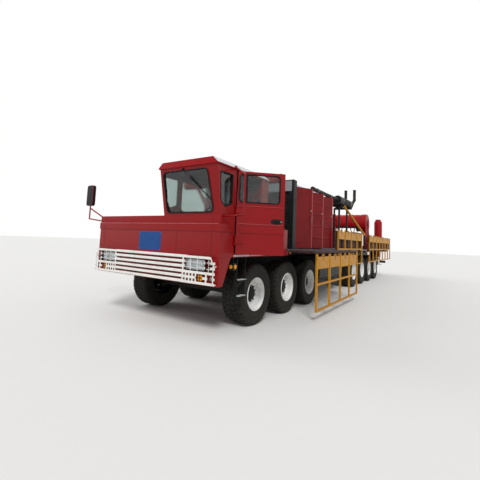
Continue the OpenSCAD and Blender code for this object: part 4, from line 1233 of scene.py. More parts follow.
@dataclass
class Cab:
    """The offset cab: shell, roof, glass, open door and what is inside.

    Places that end in off or at are measured from the body's side and its front.
    """

    front: float
    half_w: float
    hinge_off: Flat = (0.02, 0.38)
    door_angle: float = math.radians(-48)
    rake: float = math.radians(101.2)
    corner_r: float = 0.06
    highlight_bead_z: Flat = (1.795, 2.085)
    driver_off: float = 0.505
    wheel_r: float = 0.230
    seat_z: tuple[float, float, float, float] = (1.30, 1.60, 1.73, 2.35)
    padding: float = 0.8
    right_wall_x: float = 0.346
    left_wall_off: float = 0.046
    walls_off: Flat = (0.06, 1.404)
    floor_z: float = 1.301
    ceiling_z: float = 2.648
    lining_t: float = 0.004
    lining_gap: float = 0.012
    mirror_at: Point = (0.57, 0.045, 2.36)
    mirror_half: Flat = (0.062, 0.1745)
    mirror_corner: float = 0.0475
    tread_z: Flat = (0.6255, 0.8855)
    side_lamp_at: Point = (0.020, 0.467, 1.10)

    def build(self) -> None:
        """Dresses the cab and adds its pieces."""
        dress("cab_shell", RED, 0.006)
        dress("cab_roof", ROOF, 0.012)
        dress("cab_door", RED, 0.004)
        dress("cab_glass", GLASS)
        dress("door_glass", GLASS)
        dress("cab_steps", BLACK, 0.003)
        dress("mirrors", RED)
        self.gaskets()
        self.wiper()
        self.door_fittings()
        self.controls()
        self.seat()
        self.lining()
        self.mirror()
        self.steps()
        self.side_lamp()

    def inside(self) -> Vector:
        """A point inside the cab, which its panes face away from."""
        return Vector((0.9, self.front + 0.7, 2.3))

    def gaskets(self) -> None:
        """Makes the rubber gaskets that hold the glass, round the panes' own outlines."""
        for node, body in (("cab_glass", ROOT), ("door_glass", "cab_door")):
            shape = Shape()
            for pane in panes(node, self.inside()):
                soft = rounded(pane, self.corner_r)
                shape.ring(soft.loop(0.013, 0.0265), soft.loop(-0.007, 0.0265), pane.normal * -0.012)
                shape.ring(soft.loop(0.002, 0.0200), soft.loop(-0.006, 0.0200), pane.normal * -0.030)
            add_piece(node + "_gaskets", shape, [GASKET], body, bevel=0.003)

    def wiper(self) -> None:
        """Makes the wiper, drawn in the windscreen's plane: X to the side, Y up the glass and Z out of it."""
        shape = Shape(Matrix.Translation((0, self.front, 1.90)) @ Matrix.Rotation(self.rake, 4, "X"))
        knob, holder = (0.82, 0.74), (1.14, 0.432, 0.014)
        shape.revolve([(0.020, 0.0), (0.020, 0.023), (0.012, 0.028)], (*knob, 0.0), Axis.Z, 16)
        shape.tube([(*knob, 0.024), (0.90, 0.665, 0.024), holder], 0.0035, 8)
        shape.tube([(0.95, 0.615, 0.004), holder, (1.33, 0.250, 0.004)], 0.003, 8)
        shape.tube([(0.94, 0.625, -0.004), (1.34, 0.240, -0.004)], 0.005, 8)
        add_piece("wiper", shape, [BLACK])

    def door_fittings(self) -> None:
        """Makes the door's handle and lock, the window's divider, the beads in the lighter red of a painted highlight,
        the inner panel and the pull.

        They are drawn in the shut door's frame: X out of it, Y to its rear and Z up.
        """
        place = Matrix.Translation((self.half_w + self.hinge_off[0], self.front + self.hinge_off[1], 0))
        place = place @ Matrix.Rotation(self.door_angle, 4, "Z")
        shape, lock, beads, inner = (Shape(place) for _ in range(4))
        oval = [(0.668 + 0.100 * y, 1.852 + 0.044 * z) for y, z in round_points((0.0, 0.0), 1.0, 28)]
        shape.prism(oval, Axis.X, -0.018, -0.014)
        shape.block((-0.017, 0.610, 1.842), (0.004, 0.710, 1.864))
        shape.block((-0.0215, 0.134, 2.150), (-0.0155, 0.168, 2.600))
        add_piece("door_handle_and_divider", shape, [GASKET], "cab_door", bevel=0.003)
        lock.revolve([(0.014, -0.018), (0.014, -0.010), (0.010, -0.007)], (0.0, 0.746, 1.852), Axis.X, 16)
        add_piece("door_lock", lock, [STEEL], "cab_door")
        # Two beads across the door, drawn in the lighter red of a painted highlight
        for z in self.highlight_bead_z:
            beads.tube([(-0.0155, 0.030, z), (-0.0155, 0.770, z)], 0.0045, 8)
        add_piece("door_beads", beads, [HIGHLIGHT_RED], "cab_door")
        inner.block((-0.083, 0.060, 1.360), (-0.065, 0.750, 1.960))
        inner.block((-0.130, 0.250, 1.700), (-0.082, 0.600, 1.745))
        inner.tube([(-0.083, 0.120, 1.800), (-0.120, 0.130, 1.800), (-0.120, 0.130, 1.930),
                    (-0.083, 0.120, 1.930)], 0.010)
        add_piece("door_inner_panel", inner, [PLASTIC], "cab_door", bevel=0.008)

    def controls(self) -> None:
        """Makes the dashboard with its hood, and the steering wheel on its column."""
        x, y = self.half_w - self.driver_off, self.front
        dash = Shape()
        dash.prism([(y + 0.090, 1.56), (y + 0.090, 1.885), (y + 0.200, 1.885), (y + 0.250, 1.862),
                    (y + 0.330, 1.715), (y + 0.322, 1.680), (y + 0.280, 1.56)],
                   Axis.X, self.right_wall_x, self.half_w - self.left_wall_off)
        dash.prism([(y + 0.200, 1.86), (y + 0.200, 1.935), (y + 0.330, 1.925), (y + 0.310, 1.86)],
                   Axis.X, x - 0.22, x + 0.22)
        add_piece("dashboard", dash, [PLASTIC], bevel=0.012, stands_for=["cab_interior"])
        wheel = Shape(Matrix.Translation((x, y + 0.56, 1.90)) @ Matrix.Rotation(math.radians(-45), 4, "X"))
        centre = (0.0, 0.0, 0.0)
        wheel.revolve(round_points((self.wheel_r, 0.0), 0.016, 10), centre, Axis.Z, 40, closed=True)
        for u, v in round_points((0.0, 0.0), self.wheel_r - 0.005, 3, 0.75):
            wheel.tube([(0, 0, -0.01), (u, v, 0.0)], 0.011, 8)
        wheel.revolve([(0.055, -0.025), (0.055, 0.008), (0.040, 0.018)], centre, Axis.Z, 24)
        wheel.place = Matrix.Identity(4)
        wheel.tube([(x, y + 0.30, 1.64), (x, y + 0.55, 1.89)], 0.035, 16)
        add_piece("steering_wheel", wheel, [PLASTIC])

    def seat(self) -> None:
        """Makes the seat's base and its two padded cushions."""
        x, y = self.half_w - self.driver_off, self.front
        foot, seat, cushion_top, back_top = self.seat_z
        base = Shape()
        base.block((x - 0.200, y + 0.860, foot), (x + 0.200, y + 1.260, seat))
        add_piece("seat_base", base, [BLACK], bevel=0.01)
        for name, low, high in (
                ("seat_cushion", (x - 0.25, y + 0.80, seat), (x + 0.25, y + 1.29, cushion_top)),
                ("seat_back", (x - 0.24, y + 1.18, cushion_top), (x + 0.24, y + 1.30, back_top))):
            cushion = Shape()
            cushion.block(low, high)
            piece = add_piece(name, cushion, [CLOTH], bevel=0.045)
            piece.modifiers["rounded_edges"].segments = 5
            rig.padded(piece, self.padding)

    def window_box(self, way: Vector) -> tuple[Vector, Vector]:
        """Finds the box round the cab's panes that face one way.

        Args:
            way: The way, as a unit vector.

        Returns:
            The box's lowest and highest corners.
        """
        corners = [corner for pane in panes("cab_glass", self.inside()) if pane.normal.dot(way) > 0.9
                   for corner in pane.outline]
        return (Vector([min(corner[k] for corner in corners) for k in range(3)]),
                Vector([max(corner[k] for corner in corners) for k in range(3)]))

    def lining(self) -> None:
        """Lines the cab's ceiling, rear wall and right wall round their windows, and lays its floor mat, all kept dark
        as painted shade for the shade inside the cab.
        """
        x0, x1 = self.right_wall_x, self.half_w - self.left_wall_off
        y0, y1 = (self.front + off for off in self.walls_off)
        z0, z1, t, gap = self.floor_z, self.ceiling_z, self.lining_t, self.lining_gap
        shape = Shape()
        shape.block((x0, y0, z1), (x1, y1, z1 + t))
        low, high = self.window_box(Vector((0, 1, 0)))
        for a, b, c, d in ((x0, z0, x1, low.z - gap), (x0, high.z + gap, x1, z1),
                           (x0, low.z - gap, low.x - gap, high.z + gap),
                           (high.x + gap, low.z - gap, x1, high.z + gap)):
            shape.block((a, y1 - t, b), (c, y1, d))
        low, high = self.window_box(Vector((-1, 0, 0)))
        for a, b, c, d in ((y0, z0, y1, low.z - gap), (y0, high.z + gap, y1, z1),
                           (high.y + gap, low.z - gap, y1, high.z + gap)):
            shape.block((x0, a, b), (x0 + t, c, d))
        shape.block((x0, y0 + 0.3, z0), (x1, y1, z0 + t))
        add_piece("cab_lining", shape, [LINING_AND_SHADE])

    def mirror(self) -> None:
        """Makes the black head of the right mirror and its glass."""
        x, y, z = -self.half_w - self.mirror_at[0], self.front + self.mirror_at[1], self.mirror_at[2]
        half_x, half_z, radius, steps = *self.mirror_half, self.mirror_corner, 5
        outline = [(sx * half_x + radius * math.cos(a), sz * half_z + radius * math.sin(a))
                   for sx, sz, start in ((1, 1, 0), (-1, 1, 90), (-1, -1, 180), (1, -1, 270))
                   for a in (math.radians(start + 90 * k / steps) for k in range(steps + 1))]
        head, glass = Shape(), Shape()
        head.prism([(x + u, z + v) for u, v in outline], Axis.Y, y - 0.001, y + 0.0715)
        add_piece("mirror_head", head, [BLACK], bevel=0.012)
        glass.prism([(x + u * 0.88, z + v * 0.94) for u, v in outline], Axis.Y, y + 0.068, y + 0.0735)
        add_piece("mirror_glass", glass, [MIRROR])

    def steps(self) -> None:
        """Makes the light treads of the cab's steps and the strip on the door sill."""
        low, high = box("cab_steps")
        treads, sill = Shape(), Shape()
        for z in self.tread_z:
            treads.block((low.x + 0.004, low.y + 0.010, z), (high.x - 0.004, high.y - 0.010, z + 0.004))
        add_piece("step_treads", treads, [TREAD_GREY], bevel=0.001)
        x, y = self.half_w, self.front
        sill.block((x - 0.001, y + 0.39, 1.266), (x + 0.003, y + 0.84, 1.292))
        sill.block((x - 0.001, y + 0.84, 1.272), (x + 0.003, y + 1.44, 1.284))
        add_piece("door_sill_strip", sill, [TREAD_GREY], bevel=0.001)

    def side_lamp(self) -> None:
        """Makes the side lamp below the door: a box on a bracket, with a lens to the side and one ahead."""
        x, y, z = self.half_w - self.side_lamp_at[0], self.front + self.side_lamp_at[1], self.side_lamp_at[2]
        lamp, lenses = Shape(), Shape()
        lamp.block((x - 0.090, y - 0.055, z - 0.060), (x, y + 0.055, z + 0.060))
        lamp.block((x - 0.060, y - 0.015, z + 0.060), (x - 0.030, y + 0.015, 1.256))
        side_lens = [(0.036, -0.001), (0.036, 0.008), (0.024, 0.014), (0.006, 0.016)]
        front_lens = [(0.032, 0.001), (0.032, -0.008), (0.022, -0.013), (0.006, -0.015)]
        lenses.revolve(side_lens, (x, y, z), Axis.X, 20)
        lenses.revolve(front_lens, (x - 0.045, y - 0.055, z), Axis.Y, 20)
        add_piece("side_lamp_box", lamp, [BLACK], bevel=0.004)
        add_piece("side_lamp_lenses", lenses, [AMBER])


@dataclass
class EngineBay:
    """Radiator, engine hood with its three open doors, engine and exhaust."""

    front: float
    doors: int = 3
    door_angle: float = math.radians(-23)
    hinge_x: float = 1.12
    hinge_y: float = 3.24
    door_pitch: float = 0.84
    ribs: int = 4
    rib_z: Flat = (1.69, 2.65)
    handle_y: float = 0.745
    handle_z: Flat = (2.02, 2.20)
    lock_z: float = 2.36
    core_margin: float = 0.12
    core_foot: float = 0.16
    guard_columns: int = 9
    guard_rows: int = 5
    guard_half: float = 0.006
    plate_x: Flat = (0.62, 1.29)
    plate_z: Flat = (2.745, 2.995)
    cylinders: int = 6
    head_x: float = 0.46
    pipe_x: float = 0.60
    pipe_drop: float = 0.30
    muffler_x: Flat = (0.48, 0.86)
    muffler_z: float = 3.23
    stay_r: float = 0.042

    def build(self) -> None:
        """Dresses the nodes and adds the pieces."""
        dress("radiator", BLACK, 0.008)
        dress("engine_hood", HOOD, 0.008)
        dress("engine", ENGINE, 0.02)
        dress("exhaust", HEAT_BLACK)
        self.radiator()
        self.engine()
        for i in range(self.doors):
            self.door(i)
        self.exhaust()

    def radiator(self) -> None:
        """Makes the radiator's core, its guard bars and the grey plate on it."""
        low, high = box("radiator")
        margin, half = self.core_margin, self.guard_half
        x0, x1, z0, z1 = low.x + margin, high.x - margin, low.z + self.core_foot, high.z - margin
        core, guard, plate = Shape(), Shape(), Shape()
        core.block((x0, low.y + 0.035, z0), (x1, low.y + 0.061, z1))
        add_piece("radiator_core", core, [CORE])
        for k in range(self.guard_columns):
            x = x0 + (x1 - x0) * (k + 0.5) / self.guard_columns
            guard.block((x - half, low.y + 0.010, z0), (x + half, low.y + 0.022, z1))
        for k in range(self.guard_rows):
            z = z0 + (z1 - z0) * (k + 0.5) / self.guard_rows
            guard.block((x0, low.y + 0.012, z - half), (x1, low.y + 0.020, z + half))
        add_piece("radiator_guard", guard, [BLACK], bevel=0.002)
        (x0, x1), (z0, z1) = self.plate_x, self.plate_z
        plate.block((x0, low.y - 0.006, z0), (x1, low.y, z1))
        add_piece("radiator_plate", plate, [PRIMER], bevel=0.002)

    def engine(self) -> None:
        """Makes the engine's heads, covers and pipes, which the open doors show."""
        low, high = box("engine")
        pitch = (high.y - low.y - 0.24) / self.cylinders
        pipe_z = high.z - self.pipe_drop
        shape = Shape()
        for sign in (1, -1):
            x, pipe_x = sign * self.head_x, sign * self.pipe_x
            for k in range(self.cylinders):
                y = low.y + 0.12 + k * pitch
                shape.block((x - 0.10, y, high.z - 0.42), (x + 0.10, y + 0.26, high.z - 0.16))
                shape.block((x - 0.07, y + 0.02, high.z - 0.16), (x + 0.07, y + 0.24, high.z - 0.06))
                shape.tube([(x, y + 0.13, pipe_z), (pipe_x, y + 0.13, pipe_z)], 0.035, 10)
            shape.tube([(pipe_x, low.y + 0.1, pipe_z), (pipe_x, high.y - 0.2, pipe_z),
                        (sign * 0.50, high.y - 0.02, high.z + 0.12)], 0.055, 14)
            shape.revolve([(0.10, 0.0), (0.11, 0.02), (0.11, 0.36), (0.09, 0.40)],
                          (sign * 0.62, low.y + 0.5, 1.62), Axis.Y, 20)
        add_piece("engine_details", shape, [ENGINE], bevel=0.008)

    def door(self, i: int) -> None:
        """Makes one engine door's relief, edge and handle, drawn in the shut door's frame. The door and its relief are
        a red darkened as painted shade, and the edge is a painted highlight.

        Args:
            i: The door's number from the front, counted from 0.
        """
        body = f"engine_door_{i + 1}"
        # The door takes a red darkened as painted shade
        dress(body, SHADED_DOOR_RED, 0.004)
        place = Matrix.Translation((self.hinge_x, self.front + self.hinge_y + self.door_pitch * i, 0))
        place = place @ Matrix.Rotation(self.door_angle, 4, "Z")
        relief, edge, handle = (Shape(place) for _ in range(3))
        if i == 0:
            relief.border((0.013, 0.10, 1.54), (0.020, 0.72, 2.80), 0.020)
        else:
            low, high = self.rib_z
            for z in (low + (high - low) * k / (self.ribs - 1) for k in range(self.ribs)):
                relief.prism([(0.013, z - 0.032), (0.024, z - 0.012), (0.024, z + 0.012), (0.013, z + 0.032)],
                             Axis.Y, 0.08, 0.74)
        relief.border((-0.024, 0.085, 1.475), (-0.013, 0.725, 2.855), 0.022)
        add_piece(body + "_relief", relief, [SHADED_DOOR_RED], body, bevel=0.003)
        # A strip along the door's rear edge in the lighter red of a painted highlight
        edge.block((0.010, 0.782, 1.414), (0.0165, 0.803, 2.926))
        add_piece(body + "_edge", edge, [HIGHLIGHT_RED], body, bevel=0.002)
        y, root, grip, (z0, z1) = self.handle_y, 0.014, 0.048, self.handle_z
        handle.tube([(root, y, z0), (grip, y, z0), (grip, y, z1), (root, y, z1)], 0.008)
        handle.revolve([(0.022, 0.0), (0.022, 0.010), (0.012, 0.014)], (root, y, self.lock_z), Axis.X, 16)
        add_piece(body + "_handle", handle, [STEEL], body)

    def exhaust(self) -> None:
        """Makes the bands of the mufflers and pipes, and the yellow tube round the diagonal stay."""
        bands, stay = Shape(), Shape()
        # Half length, inner radius, outer radius, flats and places of the mufflers' and the pipes' bands
        for half, inner, outer, steps, places in ((0.020, 0.163, 0.170, 40, (8.14, 8.43, 9.53, 9.81)),
                                                  (0.016, 0.060, 0.072, 28, (5.9, 7.2, 9.95))):
            lip = half - 0.002
            profile = [(inner, -half), (outer, -lip), (outer, lip), (inner, half)]
            for x in self.muffler_x:
                for y in places:
                    here = (x, self.front + y, self.muffler_z)
                    bands.revolve(profile, here, Axis.Y, steps, closed=True)
        add_piece("muffler_bands", bands, [STEEL])
        stay.tube([(1.010, self.front + 8.43, 3.045), (1.440, self.front + 9.99, 1.98)], self.stay_r, 16)
        add_piece("yellow_stay", stay, [YELLOW])


@dataclass
class Deck:
    """Deck, lockers and the folding walkways with their guard rails."""

    front: float
    half_w: float = 1.515
    strip_z: Flat = (1.342, 1.378)
    bay: float = 0.83
    ear_gap: float = 0.020
    toe_half: float = 0.004
    lockers_y: tuple[float, ...] = (5.08, 5.84, 6.60)
    marker_y: tuple[float, ...] = (2.46, 9.20, 10.0)
    marker_x: Flat = (1.516, 1.534)
    marker_z: Flat = (1.290, 1.330)

    def build(self) -> None:
        """Dresses the nodes and adds the pieces."""
        dress("deck", TREAD_PLATE, 0.003)
        dress("tanks_and_lockers", LOCKER, 0.008)
        for place in WALKWAYS:
            dress("walkway_" + place, WALKWAY_PLATE, 0.002)
            dress("rail_" + place, YELLOW, 0.003)
        self.edge()
        for place in WALKWAYS:
            self.toe_board("rail_" + place)
        self.lockers()
        self.markers()

    def edge(self) -> None:
        """Makes the bare strip along the deck's sides and rear."""
        low, high = box("deck")
        z0, z1 = self.strip_z
        shape = Shape()
        for sign in (1, -1):
            a, b = sorted((sign * (self.half_w - 0.001), sign * (self.half_w + 0.0015)))
            shape.block((a, low.y, z0), (b, high.y, z1))
        shape.block((-self.half_w, high.y - 0.0005, z0), (self.half_w, high.y, z1))
        add_piece("deck_edge_strip", shape, [ZINC], bevel=0.0005)

    def toe_board(self, body: str) -> None:
        """Carries a rail's toe board up to its hinge line, in the stretches between the hinge ears.

        Args:
            body: The rail's body, which has the node's name.
        """
        low, high = box(body)
        x, top = (low.x + high.x) / 2, high.z - 0.025
        start, length = low.y - 0.010, high.y - low.y + 0.020
        bays = round(length / self.bay)
        ears = [start + length * (k + 0.5) / bays for k in range(bays)]
        starts = [low.y, *(ear + self.ear_gap for ear in ears)]
        ends = [*(ear - self.ear_gap for ear in ears), high.y]
        shape = Shape()
        for a, b in zip(starts, ends):
            shape.block((x - self.toe_half, a, top - 0.110), (x + self.toe_half, b, top - 0.030))
        add_piece(body + "_toe_board", shape, [YELLOW], body)

    def lockers(self) -> None:
        """Makes the doors of the lockers below and on the deck, and their latches."""
        doors, latches = Shape(), Shape()
        for y in (self.front + at for at in self.lockers_y):
            doors.block((1.279, y, 0.60), (1.286, y + 0.72, 1.14))
            latches.block((1.285, y + 0.33, 1.08), (1.292, y + 0.39, 1.12))
        for door_y, latch_y in ((8.84, 9.30), (9.36, 9.38)):
            y, latch = self.front + door_y, self.front + latch_y
            doors.block((1.379, y, 1.42), (1.386, y + 0.50, 2.00))
            latches.block((1.385, latch, 1.68), (1.392, latch + 0.02, 1.80))
        add_piece("locker_doors", doors, [LOCKER], bevel=0.003)
        add_piece("locker_latches", latches, [STEEL], bevel=0.002)

    def markers(self) -> None:
        """Makes the amber marker lamps along the sides."""
        shape = Shape()
        z0, z1 = self.marker_z
        for sign in (1, -1):
            a, b = sorted(sign * x for x in self.marker_x)
            for y in (self.front + at for at in self.marker_y):
                shape.block((a, y, z0), (b, y + 0.07, z1))
        add_piece("marker_lamps", shape, [AMBER], bevel=0.004)


@dataclass
class Machinery:
    """Drawworks, mast supports and jacks."""

    front: float
    jack_off: float = 0.17
    casing_r: float = 0.188
    cylinder_r: float = 0.122
    casing_foot: float = 1.411
    casing_top: float = 2.850
    jack_flange_r: float = 0.120
    grooves: int = 26
    barrel_half: float = 0.545
    shaft_r: float = 0.060
    guard_r: Flat = (0.4502, 0.470)
    bearing_bolt_r: float = 0.18
    case_bolts: int = 16
    case_faces: Flat = (-0.083, -0.303)
    bracket_x: Flat = (0.545, 0.745)

    def build(self) -> None:
        """Dresses the nodes and adds the pieces."""
        for node in ("drawworks_frame", "mast_base", "mast_rest", "jack_cylinders"):
            dress(node, RED_FRAME, 0.006)
        for side, _ in SIDES:
            dress("jack_leg_" + side, CHROME)
        self.jack_casings()
        self.drum()
        self.chain_case()
        self.bolts()

    def jack(self) -> Flat:
        """The left jack's middle, seen from above."""
        return box("jack_cylinders")[1].x - self.jack_off, middle("jack_cylinders").y

    def jack_casings(self) -> None:
        """Makes the wide casings that the jacks' cylinders stand in, and their caps."""
        r, bore, foot, top = self.casing_r, self.cylinder_r, self.casing_foot, self.casing_top
        flange_r, flange_top = r + 0.017, foot + 0.029
        casing = [(bore, foot), (flange_r, foot), (flange_r, flange_top), (r, flange_top), (r, top - 0.050),
                  (0.150, top - 0.010), (0.112, top), (0.112, top - 0.150), (bore, top - 0.160)]
        cap = [(0.140, 2.852), (0.140, 2.900), (0.100, 2.930), (0.060, 2.935)]
        shape = Shape()
        centre = (*self.jack(), 0.0)
        shape.revolve(casing, centre, Axis.Z, 40, closed=True)
        shape.revolve(cap, centre, Axis.Z, 32)
        shape.mirror()
        add_piece("jack_casings", shape, [RED_FRAME], bevel=0.004)

    def drum(self) -> None:
        """Makes the grooved drum with its flanges and brake rims, and the bands round its guard."""
        low, high = box("drum")
        centre = (0.0, middle("drum").y, middle("drum").z)
        shaft, half = self.shaft_r, self.barrel_half
        # Radius and distance from the middle, from the flange by the rope over the brake rim to the shaft
        flange = [(0.400, half), (0.400, 0.575), (0.360, 0.590), (0.380, 0.600), (0.380, 0.735),
                  (0.340, 0.740), (shaft, 0.740)]
        # Radius and share of the pitch, across one rope groove
        groove = ((0.230, 0.06), (0.221, 0.3), (0.218, 0.5), (0.221, 0.7), (0.230, 0.94))
        pitch = 2 * half / self.grooves
        barrel = [(r, (k + share) * pitch - half) for k in range(self.grooves) for r, share in groove]
        left = [(r, -w) for r, w in reversed(flange)]
        shape, bands = Shape(), Shape()
        shape.revolve([(shaft, low.x), *left, *barrel, *flange, (shaft, high.x)], centre, Axis.X, 56)
        add_piece("drum_turned", shape, [STEEL], "drum", stands_for=["drum"], smooth=28)
        inner, outer = self.guard_r
        for start, end in ((0.790, 0.980), (0.300, 0.340)):
            for sign in (1, -1):
                a, b = sign * start, sign * end
                band = [(inner, a), (outer, a), (outer, b), (inner, b)]
                bands.revolve(band, centre, Axis.X, 64, closed=True)
        add_piece("drum_guard_bands", bands, [RED_FRAME], bevel=0.004)

    def chain_case(self) -> None:
        """Makes the chain case's flange strips and their bolts."""
        case = [Vector((0, self.front + y, z))
                for y, z in ((8.50, 1.56), (8.35, 2.06), (10.90, 2.95), (11.10, 2.45))]
        strip, bolts = Shape(), Shape()
        for start, end in ((case[0], case[3]), (case[1], case[2])):
            way = (end - start).normalized()
            across = Vector((0, -way.z, way.y)) * 0.018
            outline = [start + across, end + across, end - across, start - across]
            for x in self.case_faces:
                strip.prism([(p.y, p.z) for p in outline], Axis.X, x, x + 0.006)
            for k in range(self.case_bolts):
                head = start.lerp(end, (k + 0.5) / self.case_bolts)
                bolts.bolts([(self.case_faces[0] + 0.006, head.y, head.z)], Axis.X, 0.012, 0.010)
        add_piece("chain_case_flange", strip, [RED_FRAME], bevel=0.002)
        add_piece("chain_case_bolts", bolts, [STEEL])

    def bolts(self) -> None:
        """Makes the bolts of the jacks' flanges, the drum's bearings and the mast's brackets."""
        shape = Shape()
        x, y = self.jack()
        for middle_x in (x, -x):
            ring = round_points((middle_x, y), self.jack_flange_r, 8, 0.5)
            shape.bolts([(u, v, 2.90) for u, v in ring], Axis.Z, 0.010, 0.012)
        drum = middle("drum")
        ring = round_points((drum.y, drum.z), self.bearing_bolt_r, 8, 0.5)
        for x in (1.03, -1.042):
            shape.bolts([(x, u, v) for u, v in ring], Axis.X, 0.016, 0.012)
        start = box("mast_base")[0].y + 0.05
        heads = [(sign * x, start + k * 0.22, 1.44)
                 for sign in (1, -1) for x in self.bracket_x for k in range(4)]
        shape.bolts(heads, Axis.Z, 0.016, 0.014)
        add_piece("flange_bolts", shape, [STEEL])


@dataclass
class Chassis:
    """Frame, axles, springs, knuckles, brake chambers and mud flaps."""

    web_x: float = 0.45
    bolt_columns: int = 48
    bolt_drops: Flat = (0.05, 0.27)
    end_margin: float = 0.2
    u_bolt_foot: float = 0.61
    u_bolt_half: float = 0.046
    u_bolt_r: float = 0.010
    chamber_x: float = 0.78
    flap_x: Flat = (0.985, 1.395)
    flap_y: float = 0.68

    def build(self) -> None:
        """Dresses the nodes and adds the pieces."""
        dress("chassis_frame", CHASSIS, 0.004)
        dress("axles", CHASSIS, 0.005)
        for side, _ in SIDES:
            for i in range(1, STEERED + 1):
                dress(f"knuckle_{side}_{i}", CHASSIS, 0.005)
        axles = [middle(f"wheel_left_{i}").y for i in range(1, AXLES + 1)]
        fittings = Shape()
        for n, y in enumerate(axles):
            self.u_bolts(fittings, y, n < STEERED)
            if n >= STEERED:
                self.brake_chambers(fittings, y)
        self.frame_bolts(fittings)
        add_piece("chassis_fittings", fittings, [CHASSIS])
        self.mud_flaps(axles[-1] + self.flap_y)

    def u_bolts(self, shape: Shape, y: float, steered: bool) -> None:
        """Adds the U-bolts that hold an axle to its springs.

        Args:
            shape: The shape that grows.
            y: The axle's place along the vehicle.
            steered: Whether it is a steered axle, whose springs stand closer together.
        """
        x, top, apart = (0.405, 0.80, 0.055) if steered else (0.58, 0.78, 0.05)
        foot, half = self.u_bolt_foot, self.u_bolt_half
        for sign in (1, -1):
            a, b = sign * (x - half), sign * (x + half)
            for at in (y - apart, y + apart):
                shape.tube([(a, at, foot), (a, at, top), (b, at, top), (b, at, foot)], self.u_bolt_r, 8)

    def brake_chambers(self, shape: Shape, y: float) -> None:
        """Adds a driven axle's two brake chambers on their brackets.

        Args:
            shape: The shape that grows.
            y: The axle's place along the vehicle.
        """
        profile = [(0.075, 0.0), (0.082, 0.02), (0.082, 0.07), (0.09, 0.075), (0.09, 0.085), (0.082, 0.09),
                   (0.082, 0.15), (0.06, 0.175)]
        for x in (self.chamber_x, -self.chamber_x):
            shape.revolve(profile, (x, y + 0.13, 0.60), Axis.Y, 20)
            shape.block((x - 0.05, y + 0.05, 0.58), (x + 0.05, y + 0.135, 0.62))

    def frame_bolts(self, shape: Shape) -> None:
        """Adds rows of bolts along the web of each frame rail.

        Args:
            shape: The shape that takes them.
        """
        low, high = box("chassis_frame")
        pitch = (high.y - low.y - 2 * self.end_margin) / (self.bolt_columns - 1)
        for sign in (1, -1):
            heads = [(sign * self.web_x, low.y + self.end_margin + k * pitch, high.z - drop)
                     for k in range(self.bolt_columns) for drop in self.bolt_drops]
            shape.bolts(heads, Axis.X, 0.012, sign * 0.009)

    def mud_flaps(self, y: float) -> None:
        """Makes the flaps behind the last axle, each hung from a bar.

        Args:
            y: The flaps' place along the vehicle.
        """
        x0, x1 = self.flap_x
        shape = Shape()
        shape.block((x0, y - 0.005, 0.70), (x1, y + 0.005, 1.215))
        shape.block((x0, y + 0.005, 1.175), (x1, y + 0.030, 1.265))
        shape.mirror()
        add_piece("mud_flaps", shape, [FLAP], bevel=0.002)


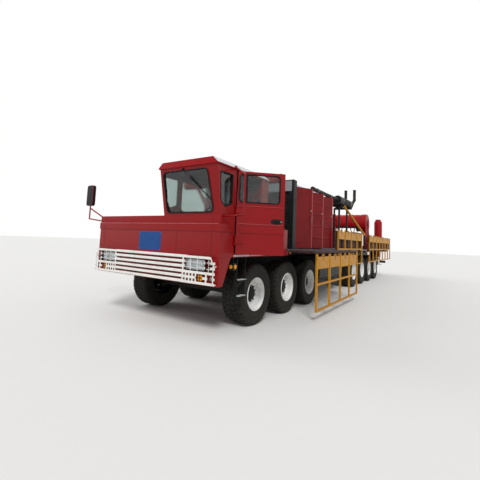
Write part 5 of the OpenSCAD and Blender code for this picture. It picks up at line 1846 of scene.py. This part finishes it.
@dataclass
class Studio:
    """Pale floor, white surroundings, soft light and the photograph's camera.

    The camera's place is in metres and its angles are in degrees. Its focal length, and the row of the
    picture that lies straight ahead of it, are in pixels of a square picture.
    """

    place: Point = (4.361, -11.4685, 1.519)
    yaw: float = 33.684
    pitch: float = 4.992
    roll: float = 2.413
    focal: float = 314.335
    frame: int = 480
    ahead_v: float = 213.5
    sensor: float = 36.0
    floor_reach: float = 120.0
    sky: float = 0.60
    sun: float = 2.1
    fill: float = 0.7

    def camera(self) -> None:
        """Makes the camera at the place and angle fitted to the photograph."""
        yaw, pitch, roll = (math.radians(v) for v in (self.yaw, self.pitch, self.roll))
        ahead = Vector((-math.sin(yaw) * math.cos(pitch), math.cos(yaw) * math.cos(pitch), math.sin(pitch)))
        right = ahead.cross(Vector((0, 0, 1))).normalized()
        up = right.cross(ahead)
        across = right * math.cos(roll) + up * math.sin(roll)
        above = up * math.cos(roll) - right * math.sin(roll)
        data = bpy.data.cameras.new("photo_camera")
        data.sensor_width = self.sensor
        data.lens = self.focal / self.frame * self.sensor
        data.shift_y = (self.ahead_v - self.frame / 2) / self.frame
        data.clip_end = 400.0
        eye = bpy.data.objects.new("photo_camera", data)
        turn = Matrix((across, above, -ahead)).transposed().to_4x4()
        eye.matrix_world = Matrix.Translation(self.place) @ turn
        bpy.context.scene.collection.objects.link(eye)
        bpy.context.scene.camera = eye

    def build(self) -> None:
        """Makes the floor, the surroundings and the lights."""
        bpy.context.scene.view_settings.view_transform = "Standard"
        self.floor()
        self.surroundings()
        self.light("key", self.sun, (48, 8, 28), 14)
        self.light("fill", self.fill, (60, 0, -75), 40)

    def floor(self) -> None:
        """Makes the pale, matt floor."""
        mesh = bpy.data.meshes.new("floor")
        far = self.floor_reach
        mesh.from_pydata([(-far, -far, 0), (far, -far, 0), (far, far, 0), (-far, far, 0)], [], [(0, 1, 2, 3)])
        paint = bpy.data.materials.new("studio_floor")
        paint.use_nodes = True
        shader = paint.node_tree.nodes["Principled BSDF"]
        shader.inputs["Base Color"].default_value = linear("#dcdbd8")
        shader.inputs["Roughness"].default_value = 0.85
        mesh.materials.append(paint)
        floor = bpy.data.objects.new("floor", mesh)
        bpy.context.scene.collection.objects.link(floor)
        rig.stage(floor)

    def surroundings(self) -> None:
        """Makes surroundings that look white but light the vehicle more softly."""
        world = bpy.data.worlds.new("studio")
        world.use_nodes = True
        bpy.context.scene.world = world
        tree = world.node_tree
        tree.nodes.clear()
        ray = add_node(tree, "LightPath")
        seen = add_node(tree, "Math", {"operation": "MAXIMUM"}, {
            0: ray.outputs["Is Camera Ray"], 1: ray.outputs["Is Glossy Ray"]})
        seen = add_node(tree, "Math", {"operation": "MAXIMUM"}, {
            0: seen.outputs[0], 1: ray.outputs["Is Transmission Ray"]})
        plain = add_node(tree, "Background", None, {"Color": (0.96, 0.97, 1.0, 1.0), "Strength": self.sky})
        white = add_node(tree, "Background", None, {"Color": (1.0, 1.0, 1.0, 1.0), "Strength": 1.0})
        both = add_node(tree, "MixShader", None, {
            0: seen.outputs[0], 1: plain.outputs[0], 2: white.outputs[0]})
        add_node(tree, "OutputWorld", None, {"Surface": both.outputs[0]})

    @staticmethod
    def light(name: str, energy: float, turn: Point, spread: float) -> None:
        """Makes a distant light.

        Args:
            name: Its name.
            energy: Its strength in watts a square metre.
            turn: Its turn about X, Y and Z in degrees.
            spread: How wide it looks, in degrees.
        """
        lamp = bpy.data.lights.new(name, "SUN")
        lamp.energy = energy
        lamp.angle = math.radians(spread)
        light = bpy.data.objects.new(name, lamp)
        light.rotation_euler = tuple(math.radians(v) for v in turn)
        bpy.context.scene.collection.objects.link(light)


def note_size(stage: str) -> None:
    """Args:
        stage: Which box it is, "cad" or "visual".
    """
    sizes: dict[str, list[list[float]]] = {}
    if stage != "cad":
        with open(SIZE_FILE, encoding="utf-8") as file:
            sizes = json.load(file)
    sizes[stage] = [[float(v) for v in corner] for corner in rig.bounds()]
    with open(SIZE_FILE, "w", encoding="utf-8") as file:
        json.dump(sizes, file, indent=1)


def main() -> None:
    """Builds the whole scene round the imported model."""
    logging.basicConfig(level=logging.INFO, format="%(name)s %(levelname)s %(message)s")
    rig.load()
    note_size("cad")
    low, high = box("bumper")
    front, half_w = low.y, high.x
    studio = Studio()
    studio.camera()
    Wheels().build()
    FrontEnd(front, half_w).build()
    Cab(front, half_w).build()
    EngineBay(front).build()
    Deck(front).build()
    Machinery(front).build()
    Chassis().build()
    studio.build()
    note_size("visual")
    log.info("front panel at y %.4f, body %.3f m wide", front, 2 * half_w)


if __name__ == "__main__":
    main()
